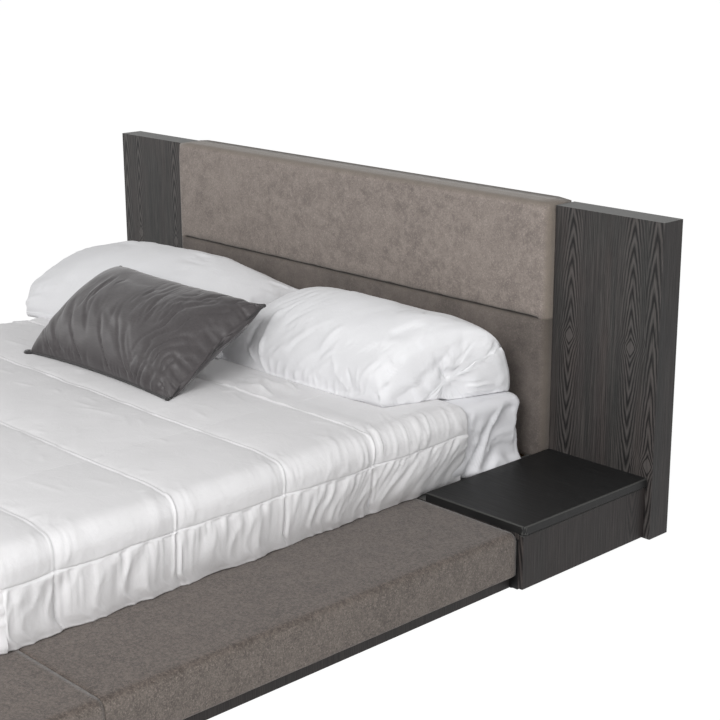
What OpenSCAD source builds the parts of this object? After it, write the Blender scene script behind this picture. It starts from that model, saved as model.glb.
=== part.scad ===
// Platform bed with an upholstered headboard, two veneered wings and two built-in nightstands.
// Millimetres. The origin is at the floor, under the centre of the whole bed.
// +X is to the right for someone who stands at the foot, +Y points to the headboard, +Z is up.

/* [Mattress and bedding] */
// Width of the mattress
mattress_w = 1930; // [1800:10:2000]
// Length of the mattress
mattress_l = 2030; // [1900:10:2130]
// Thickness of the mattress
mattress_t = 245; // [200:5:300]
// Radius of the mattress's upper edges
mattress_edge_r = 45; // [30:5:60]
// Radius of its lower edges, where the sheet is tucked in
tuck_r = 60; // [50:2:90]
// Radius of its corners in plan
mattress_corner_r = 38; // [30:2:44]
// Thickness of the comforter at a seam
comforter_seam_t = 12; // [8:1:16]
// How far a channel of the comforter stands above its seams
comforter_puff = 16; // [8:1:20]
// How far the comforter's hem stops short of the mattress's head end
comforter_start = 293; // [200:1:400]
// How far the folds of the comforter's drop stand out
fold_h = 6; // [0:1:8]
// Distance from fold to fold
fold_pitch = 230; // [150:5:300]
// How far the hem is tucked in beside the pillows
hem_tuck = 45; // [20:1:55]

/* [Pillows] */
// Length of the right pillow
pillow_l = 840; // [740:2:860]
// Depth of the left pillow
pillow_d = 524; // [480:2:540]
// Depth of the right pillow, which is stuffed thicker
right_pillow_d = 452; // [420:2:470]
// Half the thickness of a pillow
pillow_puff = 146; // [120:2:155]
// How far the right pillow rises above its seam
right_pillow_rise = 190; // [150:2:210]
// How much longer the left pillow's case is, with its open end
case_extra = 112; // [0:2:140]
// Distance of the left pillow's middle from the bed's middle
left_pillow_x = -622; // [-660:1:-560]
// Distance of the left pillow's middle from the wings' front
left_pillow_y = 446; // [400:1:480]
// Height of the left pillow's middle
left_pillow_z = 533; // [515:1:560]
// How much the left pillow leans back, in degrees
left_pillow_tilt = 19.5; // [10:0.5:26]
// How much its outer end is turned towards the foot, in degrees
left_pillow_yaw = 9; // [0:1:12]
// Distance of the right pillow's middle from the bed's middle
right_pillow_x = 454; // [440:1:520]
// Distance of the right pillow's middle from the wings' front
right_pillow_y = 378; // [330:1:400]
// Height of the right pillow's middle
right_pillow_z = 500; // [480:1:520]
// How much the right pillow leans back, in degrees
right_pillow_tilt = 20; // [12:1:24]
// How far the right pillow's rear corners are pushed outwards
right_pillow_skew = 72; // [0:2:90]
// Length of the accent cushion
accent_l = 818; // [700:2:880]
// Depth of the accent cushion
accent_d = 480; // [440:2:500]
// Half the thickness of the accent cushion
accent_puff = 80; // [60:1:84]
// Distance of the accent cushion's middle from the bed's middle
accent_x = -130; // [-200:1:-100]
// Distance of its middle from the wings' front
accent_y = 852; // [820:1:900]
// Height of its middle
accent_z = 568; // [560:1:600]
// How much it leans back, in degrees
accent_tilt = 31; // [20:1:36]

/* [Headboard] */
// Width of the upholstered panel
panel_w = 1968; // [1900:2:2100]
// Height of the upholstered panel's top
panel_h = 1050; // [1000:5:1150]
// How far the panel stands forward of the wings
panel_proud = 37; // [20:1:60]
// Thickness of the foam round the panel's top and sides
pad_wrap = 18; // [12:1:24]
// Radius of the panel's front edges
pad_edge_r = 22; // [10:1:30]
// Depth of foam between the panel's face and the bare wood behind it
pad_crown = 5; // [2:1:8]
// Height of the stitched seam
seam_z = 662; // [560:2:760]
// How far the seam stops short of each end
seam_stop = 35; // [20:1:60]
// Depth of the seam
seam_depth = 10; // [5:1:14]
// Width of each wing
wing_w = 427; // [400:1:500]
// Thickness of each wing
wing_t = 95; // [80:1:120]
// Height of each wing
wing_h = 1040; // [900:5:1040]
// Height of the panel's lower edge
pad_bottom = 166; // [165:1:180]

/* [Platform] */
// Height of the ledge, and of the deck inside it
deck_h = 182; // [180:1:200]
// Distance from a wing's outer side to the ledge's outer side
ledge_inset = 47; // [30:1:80]
// Width of the ledge beyond the mattress at the foot
foot_ledge = 206; // [150:1:300]
// Distance from the mattress's head end to the upholstered panel
head_gap = 70; // [40:1:90]
// How far the ledge runs in under the mattress
bearing = 65; // [50:1:75]
// Thickness of the upholstery on the ledge
cover_t = 12; // [8:1:16]
// Radius of the ledge's upper edge
rail_edge_r = 28; // [20:1:34]
// Radius of the ledge's lower edge
rail_lower_r = 10; // [6:1:12]
// Height of the ledge's lower edge above the floor
cover_bottom = 42; // [36:1:50]
// How far the plinth is set back under the ledge
plinth_recess = 27; // [22:1:45]
// Thickness of the plinth boards
plinth_t = 18; // [15:1:22]
// Thickness of the top board and the outer board of a rail
rail_board_t = 12; // [9:1:15]
// Thickness of a rail's inner board
inner_board_t = 25; // [18:1:30]
// Thickness of the ribs inside a rail
rib_t = 15; // [12:1:18]
// Greatest distance between two ribs
rib_pitch = 225; // [150:5:240]
// Thickness of the slats
slat_t = 18; // [15:1:22]
// Width of the slats
slat_w = 70; // [60:1:90]
// Distance from slat to slat
slat_pitch = 134; // [110:1:160]
// Side of the square strips that the slats lie on
ledger_s = 30; // [24:1:36]
// Width of the centre beam
beam_w = 45; // [38:1:60]
// Height of the centre beam
beam_h = 90; // [70:1:95]
// Side of the beam's square legs
leg_s = 40; // [35:1:45]
// Radius of the round feet under the rails
foot_r = 25; // [15:1:30]
// Thickness of the steel brackets
steel_t = 4; // [3:0.5:5]
// Length of a bracket's leg
bracket_leg = 50; // [45:1:60]
// Height of a corner bracket
bracket_h = 80; // [60:1:90]
// Radius of a bolt's shank
bolt_r = 4; // [3:0.5:5]
// Radius of a bolt's head
bolt_head_r = 7; // [6:0.5:9]
// Height of a bolt's head
bolt_head_t = 5; // [4:0.5:6]
// Length of the bolts that go into the headboard
bolt_len = 60; // [50:1:70]
// Length of a joining plate on the headboard's back
plate_l = 220; // [180:2:260]
// Height of a joining plate
plate_h = 60; // [50:1:80]
// Radius of a plate screw
screw_r = 2.5; // [2:0.1:3]
// Thickness of the glides under wings and nightstands
glide_t = 3; // [2:0.5:4]
// Radius of the glides
glide_r = 8; // [6:0.5:8.5]

/* [Nightstands] */
// Length of a nightstand, from the wing towards the foot
ns_depth = 597; // [540:1:640]
// Distance from the wing's outer side to the top's outer edge
ns_inset = 20; // [10:1:40]
// Thickness of the nightstand's top
slab_t = 27; // [20:1:32]
// Rounding of the top's edges
slab_edge_r = 4; // [2:0.5:6]
// Rounding of the top's free corner in plan
slab_corner_r = 14; // [8:1:20]
// How far the top stands beyond the drawer's front
slab_overhang = 4; // [2:1:10]
// Height of the dark gap between the top and the drawer's front
reveal = 5; // [3:0.5:8]
// Thickness of the nightstand's boards
ns_board_t = 18; // [16:1:20]
// Thickness of the nightstand's floor
ns_floor_t = 16; // [12:1:18]
// Height of the nightstand's floor above the room's floor
ns_floor_z = 20; // [15:1:24]
// Thickness of the drawer's front
front_t = 18; // [16:1:22]
// Gap behind the closed drawer's front
front_gap = 0.8; // [0.4:0.1:0.9]
// Gap under the drawer's front
front_lift = 8; // [5:1:12]
// Gap between the drawer's front and the wing
front_side_gap = 3; // [2:0.5:5]

/* [Drawers and runners] */
// Length of the drawer's box, from its front end to its back end
drawer_l = 395; // [370:1:410]
// Height of the drawer's sides
drawer_side_h = 95; // [80:1:100]
// Thickness of the drawer's sides and ends
drawer_side_t = 12; // [10:1:14]
// Height of the drawer's sides above the nightstand's floor
drawer_lift = 10; // [8:1:12]
// Thickness of the drawer's bottom
drawer_bottom_t = 6; // [4:1:7]
// Height of the bottom above the lower edge of the sides
drawer_bottom_lift = 6; // [5:1:8]
// Depth of the grooves that hold the bottom
groove_d = 6; // [4:0.5:7]
// Clearance of the bottom in its grooves
groove_gap = 0.2; // [0.1:0.05:0.4]
// Length of the ball-bearing runners
runner_l = 350; // [340:2:360]
// Height of a runner
runner_h = 45; // [40:1:46]
// Width of a closed runner between the nightstand and the drawer
runner_w = 12.7; // [12:0.1:13.5]
// Wall of a runner's steel channels
runner_wall = 1.2; // [1:0.1:1.5]
// Running gap between two channels, which the balls fill
runner_gap = 0.5; // [0.4:0.05:0.8]
// Height of the runner's middle above the drawer side's lower edge
runner_lift = 44; // [38:1:50]
// Distance from the nightstand's outer face back to the runner's front end
runner_setback = 9; // [5:1:15]

/* [Hidden] */

// Clearance between a soft piece and what it lies on
soft_gap = 0.3;
// Clearance where one board passes another without touching it
board_gap = 0.5;
// Thickness of a glued joint between two boards
glue = 0.2;
// Clearance of a bolt in its hole
hole_gap = 0.4;
// Least distance from the mattress to the nightstands' inner sides
side_room = 19;
// Overshoot that lets a cutter pass right through
cut = 1;
round_fn = 64;

// Main planes, from the floor's centre
beside_x = max(panel_w / 2, mattress_w / 2 + side_room);
half_w = beside_x + wing_w;
total_l = wing_t + panel_proud + head_gap + mattress_l + foot_ledge;
back_y = total_l / 2;
wing_front_y = back_y - wing_t;
pad_front_y = wing_front_y - panel_proud;
mattress_head_y = pad_front_y - head_gap;
mattress_foot_y = mattress_head_y - mattress_l;
foot_y = -back_y;
mattress_x = mattress_w / 2;
mattress_z = deck_h + soft_gap;
mattress_top = mattress_z + mattress_t;

// The ledge, its frame and the recess that holds the slats
rail_x = half_w - ledge_inset;
frame_x = rail_x - cover_t;
frame_top = deck_h - cover_t;
frame_bottom = cover_bottom + cover_t;
frame_foot_y = foot_y + cover_t;
recess_x = mattress_x - bearing;
recess_foot_y = mattress_foot_y + bearing;
inner_board_x = recess_x + inner_board_t;
board_top = frame_top - rail_board_t;
plinth_x = rail_x - plinth_recess;
plinth_foot_y = foot_y + plinth_recess;
ns_foot_y = wing_front_y - ns_depth;
slat_z = deck_h - slat_t;

// The nightstand, on the right-hand side
ns_face_x = half_w - ns_inset - slab_overhang - front_t - front_gap;
front_x = ns_face_x + front_gap;
ns_back_y = pad_front_y - 2;
slab_x = beside_x + 2;
ns_subtop_z = deck_h - ns_board_t;
ns_in_foot_y = ns_foot_y + ns_board_t;
ns_in_back_y = ns_back_y - ns_board_t;
ns_floor_top = ns_floor_z + ns_floor_t;

// The drawer, on the right-hand side
drawer_z = ns_floor_top + drawer_lift;
drawer_back_x = front_x - drawer_l;
drawer_y0 = ns_in_foot_y + runner_w;
drawer_y1 = ns_in_back_y - runner_w;
drawer_bottom_z = drawer_z + drawer_bottom_lift;
runner_z = drawer_z + runner_lift;
runner_x1 = ns_face_x - runner_setback;
runner_x0 = runner_x1 - runner_l;

// The headboard's parts behind the fabric
core_x = panel_w / 2 - pad_wrap;
core_top = panel_h - pad_wrap;
core_bottom = 20;
plate_zs = [130, 520, 900];
plate_pocket = steel_t + 0.2;
bracket_z = (frame_bottom + board_top) / 2;
head_rail_y = wing_front_y - inner_board_t;
bolt_xs = [-700, -300, 300, 700];
beam_top = slat_z;
leg_ys = [-600, 0, 600];
rail_foot_ys = [-700, -120, 460, 1000];

// Colours, as the photograph shows them
wood_col = [0.27, 0.26, 0.25];
top_col = [0.17, 0.17, 0.17];
suede_col = [0.50, 0.46, 0.43];
ply_col = [0.72, 0.60, 0.44];
steel_col = [0.62, 0.63, 0.65];
white_col = [0.90, 0.90, 0.91];
satin_col = [0.33, 0.32, 0.32];
black_col = [0.12, 0.12, 0.12];

// ---- General shapes ----

// A rounded rectangle as a loop of points, anticlockwise, with n points on each corner
function ring(hx, hy, r, n = 6) = [
  for (c = [0:3], k = [0:n - 1])
    let (a = 90 * c + 90 * k / (n - 1), sx = (c == 0 || c == 3) ? 1 : -1, sy = c < 2 ? 1 : -1)
    [sx * (hx - r) + r * cos(a), sy * (hy - r) + r * sin(a)]
];

// A solid through loops of equal length, each anticlockwise when seen from the last one's side
module loft(loops) {
  m = len(loops[0]);
  n = len(loops);
  polyhedron(
    points = [for (loop = loops) each loop],
    faces = concat(
      [[for (j = [0:m - 1]) j]],
      [for (k = [0:n - 2], j = [0:m - 1]) let (a = k * m, i = (j + 1) % m) [a + j, a + m + j, a + m + i]],
      [for (k = [0:n - 2], j = [0:m - 1]) let (a = k * m, i = (j + 1) % m) [a + j, a + m + i, a + i]],
      [[for (j = [m - 1:-1:0]) (n - 1) * m + j]]
    )
  );
}

// Heights and insets of a rounded edge: first the lower edge, then the upper one
function edge_profile(z0, z1, r0, r1, n = 5) = concat(
  [for (k = [0:n]) let (a = 90 * k / n) [z0 + r0 * (1 - cos(a)), r0 * (1 - sin(a))]],
  [for (k = [0:n]) let (a = 90 * k / n) [z1 - r1 * (1 - sin(a)), r1 * (1 - cos(a))]]
);

// A block with rounded edges that stands on the plan rectangle of half sizes hx and hy
module soft_block(hx, hy, corner_r, profile, n = 6) {
  loft([
    for (p = profile)
      [for (q = ring(hx - p[1], hy - p[1], max(corner_r - p[1], corner_r / 2), n)) [q[0], q[1], p[0]]]
  ]);
}

// A box between two corners
module box(low, high) {
  translate(low) cube(high - low);
}

// What is cut off along an edge of length l to round it, with the solid towards -X and -Y
module edge_cut(l, r) {
  translate([-r, -r, 0]) difference() {
    cube([r + cut, r + cut, l]);
    translate([0, 0, -cut]) cylinder(h = l + 2 * cut, r = r, $fn = round_fn);
  }
}

// The same piece on the left-hand side
module on_left() {
  mirror([1, 0, 0]) children();
}

// A hex-headed bolt along +Y, with the underside of its head at the origin
module bolt_y(l) {
  rotate([-90, 0, 0]) cylinder(h = l, r = bolt_r, $fn = 32);
  rotate([90, 0, 0]) cylinder(h = bolt_head_t, r = bolt_head_r, $fn = 6);
}

// A hole for such a bolt
module bolt_hole_y(l) {
  rotate([-90, 0, 0]) cylinder(h = l, r = bolt_r + hole_gap, $fn = 32);
}

// ---- Headboard ----

// The pockets in the back for the plates that join panel and wings
module plate_pockets() {
  for (z = plate_zs, s = [-1, 1])
    translate([s * panel_w / 2, back_y, z])
      cube([plate_l + 1, 2 * plate_pocket, plate_h + 1], center = true);
}

// The holes for the bolts that hold the bed's frame to the headboard
module head_bolt_holes() {
  for (x = bolt_xs)
    translate([x, head_rail_y - cut, bracket_z]) bolt_hole_y(bolt_len + cut + 2);
}

module headboard_core() {
  color(ply_col) difference() {
    box([-core_x, wing_front_y, core_bottom], [core_x, back_y, core_top]);
    plate_pockets();
    head_bolt_holes();
  }
}

// The face of the foam swells towards its middle: parts of the crown, and how far they are inside the edge
crown_insets = [[0.9, 130], [0.7, 70]];
pad_corner_r = 14;

// The foam and fabric: round at the front edges, open at the back, with the stitched seam
module headboard_pad() {
  pad_back_y = back_y - plate_pocket - 2;
  hx = panel_w / 2 - board_gap;
  hz = (panel_h - pad_bottom) / 2;
  front = edge_profile(0, pad_back_y - pad_front_y - pad_crown, pad_edge_r, 4);
  crown = [for (p = crown_insets) [-pad_crown * p[0], p[1]]];
  color(suede_col) difference() {
    translate([0, pad_front_y + pad_crown, pad_bottom + hz]) rotate([-90, 0, 0])
      soft_block(hx, hz, pad_corner_r, concat(crown, front), 4);
    box(
      [-core_x - soft_gap, wing_front_y - soft_gap, pad_bottom - cut],
      [core_x + soft_gap, back_y + cut, core_top + soft_gap]
    );
    translate([-hx + seam_stop, pad_front_y - pad_crown, seam_z]) rotate([0, 90, 0])
      cylinder(h = 2 * (hx - seam_stop), r = seam_depth, $fn = 4);
  }
}

module wing() {
  color(wood_col) difference() {
    box([panel_w / 2, wing_front_y, glide_t], [half_w, back_y, wing_h]);
    plate_pockets();
    for (x = [panel_w / 2, half_w])
      translate([x, wing_front_y, 0]) rotate([0, 0, x > half_w - 1 ? -90 : 180]) edge_cut(wing_h + cut, 2);
  }
}

// Steel plates let into the back, three on each side
module joining_plates() {
  color(steel_col) for (z = plate_zs, s = [-1, 1]) difference() {
    translate([s * panel_w / 2, back_y - steel_t / 2, z])
      cube([plate_l, steel_t, plate_h], center = true);
    plate_screw_places(s, z) cylinder(h = 3 * steel_t, r = screw_r + hole_gap / 2, center = true, $fn = 24);
  }
}

// The plates' screws, as parts of a plate's length and height from its middle
screw_at = [0.36, 0.28];

// The four places of a plate's screws, with +Z out of the headboard's back
module plate_screw_places(s, z) {
  for (dx = [-1, 1], dz = [-1, 1])
    translate([s * panel_w / 2, back_y - steel_t, z])
      translate([dx * screw_at[0] * plate_l, 0, dz * screw_at[1] * plate_h])
        rotate([-90, 0, 0]) children();
}

// Flat heads let in flush with the plates
module plate_screws() {
  color(steel_col) for (z = plate_zs, s = [-1, 1])
    plate_screw_places(s, z) cylinder(h = steel_t, r = screw_r, $fn = 24);
}

// ---- Platform ----

// The inside of a rail on the right: top board, outer board, long inner board and ribs
module rail_frame() {
  rib_n = ceil((ns_foot_y - recess_foot_y) / rib_pitch) + 1;
  rib_step = (ns_foot_y - recess_foot_y - rib_t) / (rib_n - 1);
  under = board_top - glue;
  color(ply_col) {
    box([recess_x, recess_foot_y, board_top], [frame_x, ns_foot_y, frame_top]);
    box([frame_x - rail_board_t, recess_foot_y, frame_bottom], [frame_x, ns_foot_y, under]);
    difference() {
      box([recess_x, recess_foot_y, frame_bottom], [inner_board_x, wing_front_y, under]);
      bracket_bolts_side() bolt_hole_y(inner_board_t * 3);
    }
    for (k = [0:rib_n - 1])
      box(
        [inner_board_x + glue, recess_foot_y + k * rib_step, frame_bottom],
        [frame_x - rail_board_t - glue, recess_foot_y + k * rib_step + rib_t, under]
      );
  }
}

// The upholstery's section, in X and Z, before the frame is taken out of it
module cover_section() {
  top_r = rail_edge_r;
  low_r = rail_lower_r;
  union() {
    translate([recess_x, cover_bottom + low_r])
      square([rail_x - recess_x, deck_h - cover_bottom - low_r - top_r]);
    translate([recess_x, cover_bottom]) square([rail_x - low_r - recess_x, deck_h - cover_bottom - top_r]);
    translate([recess_x, deck_h - 2 * top_r]) square([rail_x - top_r - recess_x, 2 * top_r]);
    translate([rail_x - top_r, deck_h - top_r]) circle(r = top_r, $fn = round_fn);
    translate([rail_x - low_r, cover_bottom + low_r]) circle(r = low_r, $fn = round_fn);
  }
}

module rail_cover() {
  color(suede_col) translate([0, ns_foot_y - board_gap, 0]) rotate([90, 0, 0])
    linear_extrude(height = ns_foot_y - board_gap - recess_foot_y) difference() {
      cover_section();
      translate([recess_x - cut, cover_bottom - cut])
        square([frame_x - recess_x + cut, frame_top - cover_bottom + cut]);
    }
}

module foot_rail_frame() {
  rib_n = ceil(2 * frame_x / rib_pitch) + 1;
  rib_step = (2 * frame_x - rib_t) / (rib_n - 1);
  under = board_top - glue;
  color(ply_col) {
    box([-frame_x, frame_foot_y, board_top], [frame_x, recess_foot_y, frame_top]);
    box([-frame_x, frame_foot_y, frame_bottom], [frame_x, frame_foot_y + rail_board_t, under]);
    difference() {
      box([-frame_x, recess_foot_y - inner_board_t, frame_bottom], [frame_x, recess_foot_y, under]);
      bracket_bolts_foot() bolt_hole_y(inner_board_t * 3);
    }
    for (k = [0:rib_n - 1])
      box(
        [-frame_x + k * rib_step, frame_foot_y + rail_board_t + glue, frame_bottom],
        [-frame_x + k * rib_step + rib_t, recess_foot_y - inner_board_t - glue, under]
      );
  }
}

module foot_rail_cover() {
  reach = rail_edge_r + cover_t;
  hy = (recess_foot_y + reach - foot_y) / 2;
  color(suede_col) difference() {
    translate([0, foot_y + hy, 0])
      soft_block(rail_x, hy, rail_edge_r + 4, edge_profile(cover_bottom, deck_h, rail_lower_r, rail_edge_r));
    box([-half_w, recess_foot_y, 0], [half_w, recess_foot_y + 2 * reach, deck_h + cut]);
    box(
      [-frame_x, frame_foot_y, cover_bottom - cut],
      [frame_x, recess_foot_y + cut, frame_top]
    );
  }
}

module plinth_side() {
  color(wood_col)
    box([plinth_x - plinth_t, plinth_foot_y, 0], [plinth_x, ns_foot_y - board_gap, frame_bottom]);
}

module plinth_foot() {
  reach = plinth_x - plinth_t;
  color(wood_col) box([-reach, plinth_foot_y, 0], [reach, plinth_foot_y + plinth_t, frame_bottom]);
}

module head_rail() {
  color(ply_col) difference() {
    box([-recess_x, head_rail_y, frame_bottom], [recess_x, wing_front_y, board_top]);
    head_bolt_holes();
    bracket_bolts_head() bolt_hole_y(inner_board_t * 3);
  }
}

module ledger() {
  color(ply_col) box(
    [recess_x - ledger_s, recess_foot_y + bracket_leg + 5, slat_z - ledger_s],
    [recess_x, mattress_head_y, slat_z]
  );
}

module centre_beam() {
  color(ply_col)
    box([-beam_w / 2, recess_foot_y, beam_top - beam_h], [beam_w / 2, head_rail_y, beam_top]);
}

// How far a hanger reaches along the beam
hanger_deep = 40;

// U-shaped steel hangers that hold the beam's ends
module beam_hangers() {
  color(steel_col) for (end = [[recess_foot_y, 0], [head_rail_y, 180]])
    translate([0, end[0], 0]) rotate([0, 0, end[1]]) difference() {
      box(
        [-beam_w / 2 - steel_t, 0, beam_top - beam_h - steel_t],
        [beam_w / 2 + steel_t, hanger_deep, beam_top - 0.3 * beam_h]
      );
      box([-beam_w / 2, -cut, beam_top - beam_h], [beam_w / 2, hanger_deep + cut, beam_top]);
    }
}

module centre_legs() {
  color(ply_col) for (y = leg_ys)
    translate([0, y, (beam_top - beam_h) / 2]) cube([leg_s, leg_s, beam_top - beam_h], center = true);
}

// Round feet under the inner boards of the rails
module rail_feet() {
  back = foot_r + board_gap;
  color(black_col) for (s = [-1, 1]) {
    for (y = rail_foot_ys)
      translate([s * (inner_board_x - back), y, 0]) cylinder(h = frame_bottom, r = foot_r, $fn = 48);
    translate([s * recess_x / 2, recess_foot_y - inner_board_t + back, 0])
      cylinder(h = frame_bottom, r = foot_r, $fn = 48);
  }
}

module slats() {
  first_y = recess_foot_y + 25;
  count = floor((mattress_head_y - first_y - slat_w) / slat_pitch) + 1;
  reach = recess_x - board_gap;
  color(ply_col) for (k = [0:count - 1])
    box([-reach, first_y + k * slat_pitch, slat_z], [reach, first_y + k * slat_pitch + slat_w, deck_h]);
}

// Distance of a bracket's bolt from the corner
bolt_at = 0.62 * bracket_leg;

// Where the corner brackets' bolts go: into the side boards, the foot board and the head rail
module bracket_bolts_side() {
  for (y = [recess_foot_y + bolt_at, head_rail_y - bolt_at])
    translate([recess_x - steel_t, y, bracket_z]) rotate([0, 0, -90]) children();
}

module bracket_bolts_foot() {
  for (s = [-1, 1])
    translate([s * (recess_x - bolt_at), recess_foot_y + steel_t, bracket_z])
      rotate([0, 0, 180]) children();
}

module bracket_bolts_head() {
  for (s = [-1, 1])
    translate([s * (recess_x - bolt_at), head_rail_y - steel_t, bracket_z]) children();
}

// Every place of a corner bracket's bolt
module bracket_bolts() {
  bracket_bolts_side() children();
  on_left() bracket_bolts_side() children();
  bracket_bolts_foot() children();
  bracket_bolts_head() children();
}

// One steel angle in each corner of the recess, below the slats
module corner_brackets() {
  low = bracket_z - bracket_h / 2;
  high = bracket_z + bracket_h / 2;
  color(steel_col) difference() {
    for (s = [0, 1], end = [[recess_foot_y, 1], [head_rail_y, -1]])
      mirror([s, 0, 0]) translate([recess_x, end[0], 0]) mirror([0, end[1] > 0 ? 0 : 1, 0]) {
        box([-steel_t, 0, low], [0, bracket_leg, high]);
        box([-bracket_leg, 0, low], [-steel_t, steel_t, high]);
      }
    bracket_bolts() translate([0, -cut, 0]) bolt_hole_y(steel_t + 2 * cut);
  }
}

module frame_bolts() {
  short = steel_t + inner_board_t - 5;
  color(steel_col) {
    bracket_bolts() bolt_y(short);
    for (x = bolt_xs) translate([x, head_rail_y, bracket_z]) bolt_y(bolt_len);
  }
}

// Discs under the wings and the nightstands' upright boards
module glides() {
  color(black_col) for (s = [-1, 1]) {
    for (x = [panel_w / 2 + 40, half_w - 40], y = [wing_front_y + 20, back_y - 20])
      translate([s * x, y, 0]) cylinder(h = glide_t, r = glide_r, $fn = 32);
    for (x = [inner_board_x + 60, ns_face_x - 30], y = [ns_foot_y, ns_in_back_y])
      translate([s * x, y + ns_board_t / 2, 0]) cylinder(h = glide_t, r = glide_r, $fn = 32);
  }
}

// ---- Bedding ----

module mattress() {
  color(white_col) translate([0, (mattress_head_y + mattress_foot_y) / 2, 0])
    soft_block(
      mattress_x, mattress_l / 2, mattress_corner_r,
      edge_profile(mattress_z, mattress_top, tuck_r, mattress_edge_r, 6)
    );
}

// The comforter lies on a core rectangle and drops over its edges round an inner radius
side_gap = 3;
drape_r = 38;
core_w = mattress_x + side_gap - drape_r;
core_foot_y = mattress_foot_y - side_gap + drape_r;
comforter_y = mattress_head_y - comforter_start;
core_l = comforter_y - core_foot_y;
arc_l = drape_r * PI / 2;
inner_top = mattress_top + soft_gap;
drop_l = arc_l + inner_top - drape_r - deck_h - soft_gap;
tuck_from = drop_l - tuck_r + 1;
side_seam = arc_l + 36;
top_seam = 548;

// Seams across the comforter, then along its length: the rows' distances from the wings' front
half_seams = [top_seam, core_w + side_seam, core_w + drop_l];
across_seams = concat([for (k = [2:-1:0]) -half_seams[k]], half_seams);
seam_rows = [1885, 1510, 1100, 700];
along_seams = concat([-side_seam], [for (d = seam_rows) wing_front_y - d - core_foot_y]);
along_all = concat([-drop_l], along_seams, [core_l]);

// How far a point lies into a cell between two seams: 0 at a seam and 1 half-way
function into_cell(t, seams) =
  let (i = max([for (k = [0:len(seams) - 2]) t >= seams[k] ? k : 0]), a = seams[i], b = seams[i + 1])
  max(0, 4 * (t - a) * (b - t) / pow(b - a, 2));

// Thickness of the comforter at u across and v along, flattened under the pillows
function comforter_t(u, v) =
  let (flat = v > along_seams[4] ? 0 : 1)
  comforter_seam_t + flat * comforter_puff * pow(into_cell(u, across_seams) * into_cell(v, along_all), 0.45);

// The hem is drawn in beside the pillows and hangs free towards the foot
function tuck_at(v) = hem_tuck * min(1, max(0, (v - 300) / 1300));

// The drop's folds at its sides: d down from the top edge and v along
function fold_at(d, v) =
  v < 0 ? 0 : fold_h * min(1, max(0, (d - side_seam) / 90)) * (1 - cos(360 * v / fold_pitch)) / 2;

// A point of the comforter at u across and v along, e above its underside
function drape(u, v, e) =
  let (
    a = max(abs(u) - core_w, 0),
    b = max(-v, 0),
    d = max(a, b),
    phi = d == 0 ? 0 : atan2(b, a),
    turn = min(90, d / drape_r * 180 / PI),
    s = min(1, max(0, (d - tuck_from) / (drop_l - tuck_from))),
    out = (drape_r + e) * sin(turn) + fold_at(d, v) - tuck_at(v) * (1 - sqrt(1 - s * s)),
    z = inner_top - drape_r + (drape_r + e) * cos(turn) - max(0, d - arc_l),
    side = u < 0 ? -1 : 1
  )
  [
    min(core_w, abs(u)) * side + side * cos(phi) * out,
    core_foot_y + max(v, 0) - sin(phi) * out,
    z
  ];

// Steps of the grid: over the drop, then between the seams on top
tuck_steps = [for (t = [0, 0.52, 0.82, 1]) tuck_from + t * (drop_l - tuck_from)];
drop_steps = concat([0, arc_l * 0.5, arc_l, side_seam, side_seam + 45], tuck_steps);
half_us = concat([top_seam / 2, top_seam, (core_w + top_seam) / 2], [for (d = drop_steps) core_w + d]);
us = concat([for (k = [len(half_us) - 1:-1:0]) -half_us[k]], [0], half_us);
vs = concat(
  [for (k = [8:-1:0]) -drop_steps[k]],
  [for (k = [1:4], j = [0:2]) along_seams[k] + (along_all[k + 2] - along_seams[k]) * j / 3],
  [core_l]
);

module comforter() {
  nu = len(us);
  nv = len(vs);
  top = [for (v = vs, u = us) drape(u, v, comforter_t(u, v))];
  under = [for (v = vs, u = us) drape(u, v, 0)];
  n = nu * nv;
  rim = concat(
    [for (i = [0:nu - 2]) [i, i + 1]],
    [for (j = [0:nv - 2]) [j * nu + nu - 1, (j + 1) * nu + nu - 1]],
    [for (i = [nu - 1:-1:1]) [(nv - 1) * nu + i, (nv - 1) * nu + i - 1]],
    [for (j = [nv - 1:-1:1]) [j * nu, (j - 1) * nu]]
  );
  color(white_col) polyhedron(
    points = concat(top, under),
    faces = concat(
      [for (j = [0:nv - 2], i = [0:nu - 2]) let (a = j * nu + i) [a, a + nu, a + nu + 1]],
      [for (j = [0:nv - 2], i = [0:nu - 2]) let (a = j * nu + i) [a, a + nu + 1, a + 1]],
      [for (j = [0:nv - 2], i = [0:nu - 2]) let (a = n + j * nu + i) [a, a + nu + 1, a + nu]],
      [for (j = [0:nv - 2], i = [0:nu - 2]) let (a = n + j * nu + i) [a, a + 1, a + nu + 1]],
      [for (e = rim) [e[0], e[1], e[1] + n]],
      [for (e = rim) [e[0], e[1] + n, e[0] + n]]
    )
  );
}

// What a pillow may not go below: the comforter's upper side, then the sheet behind its hem
function bed_top(x, y) =
  let (v = y - core_foot_y, on = min(1, max(0, (core_l + 150 - v) / 40)))
  inner_top + soft_gap + on * (v > core_l ? comforter_seam_t : comforter_t(min(core_w, abs(x)), v));

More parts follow.
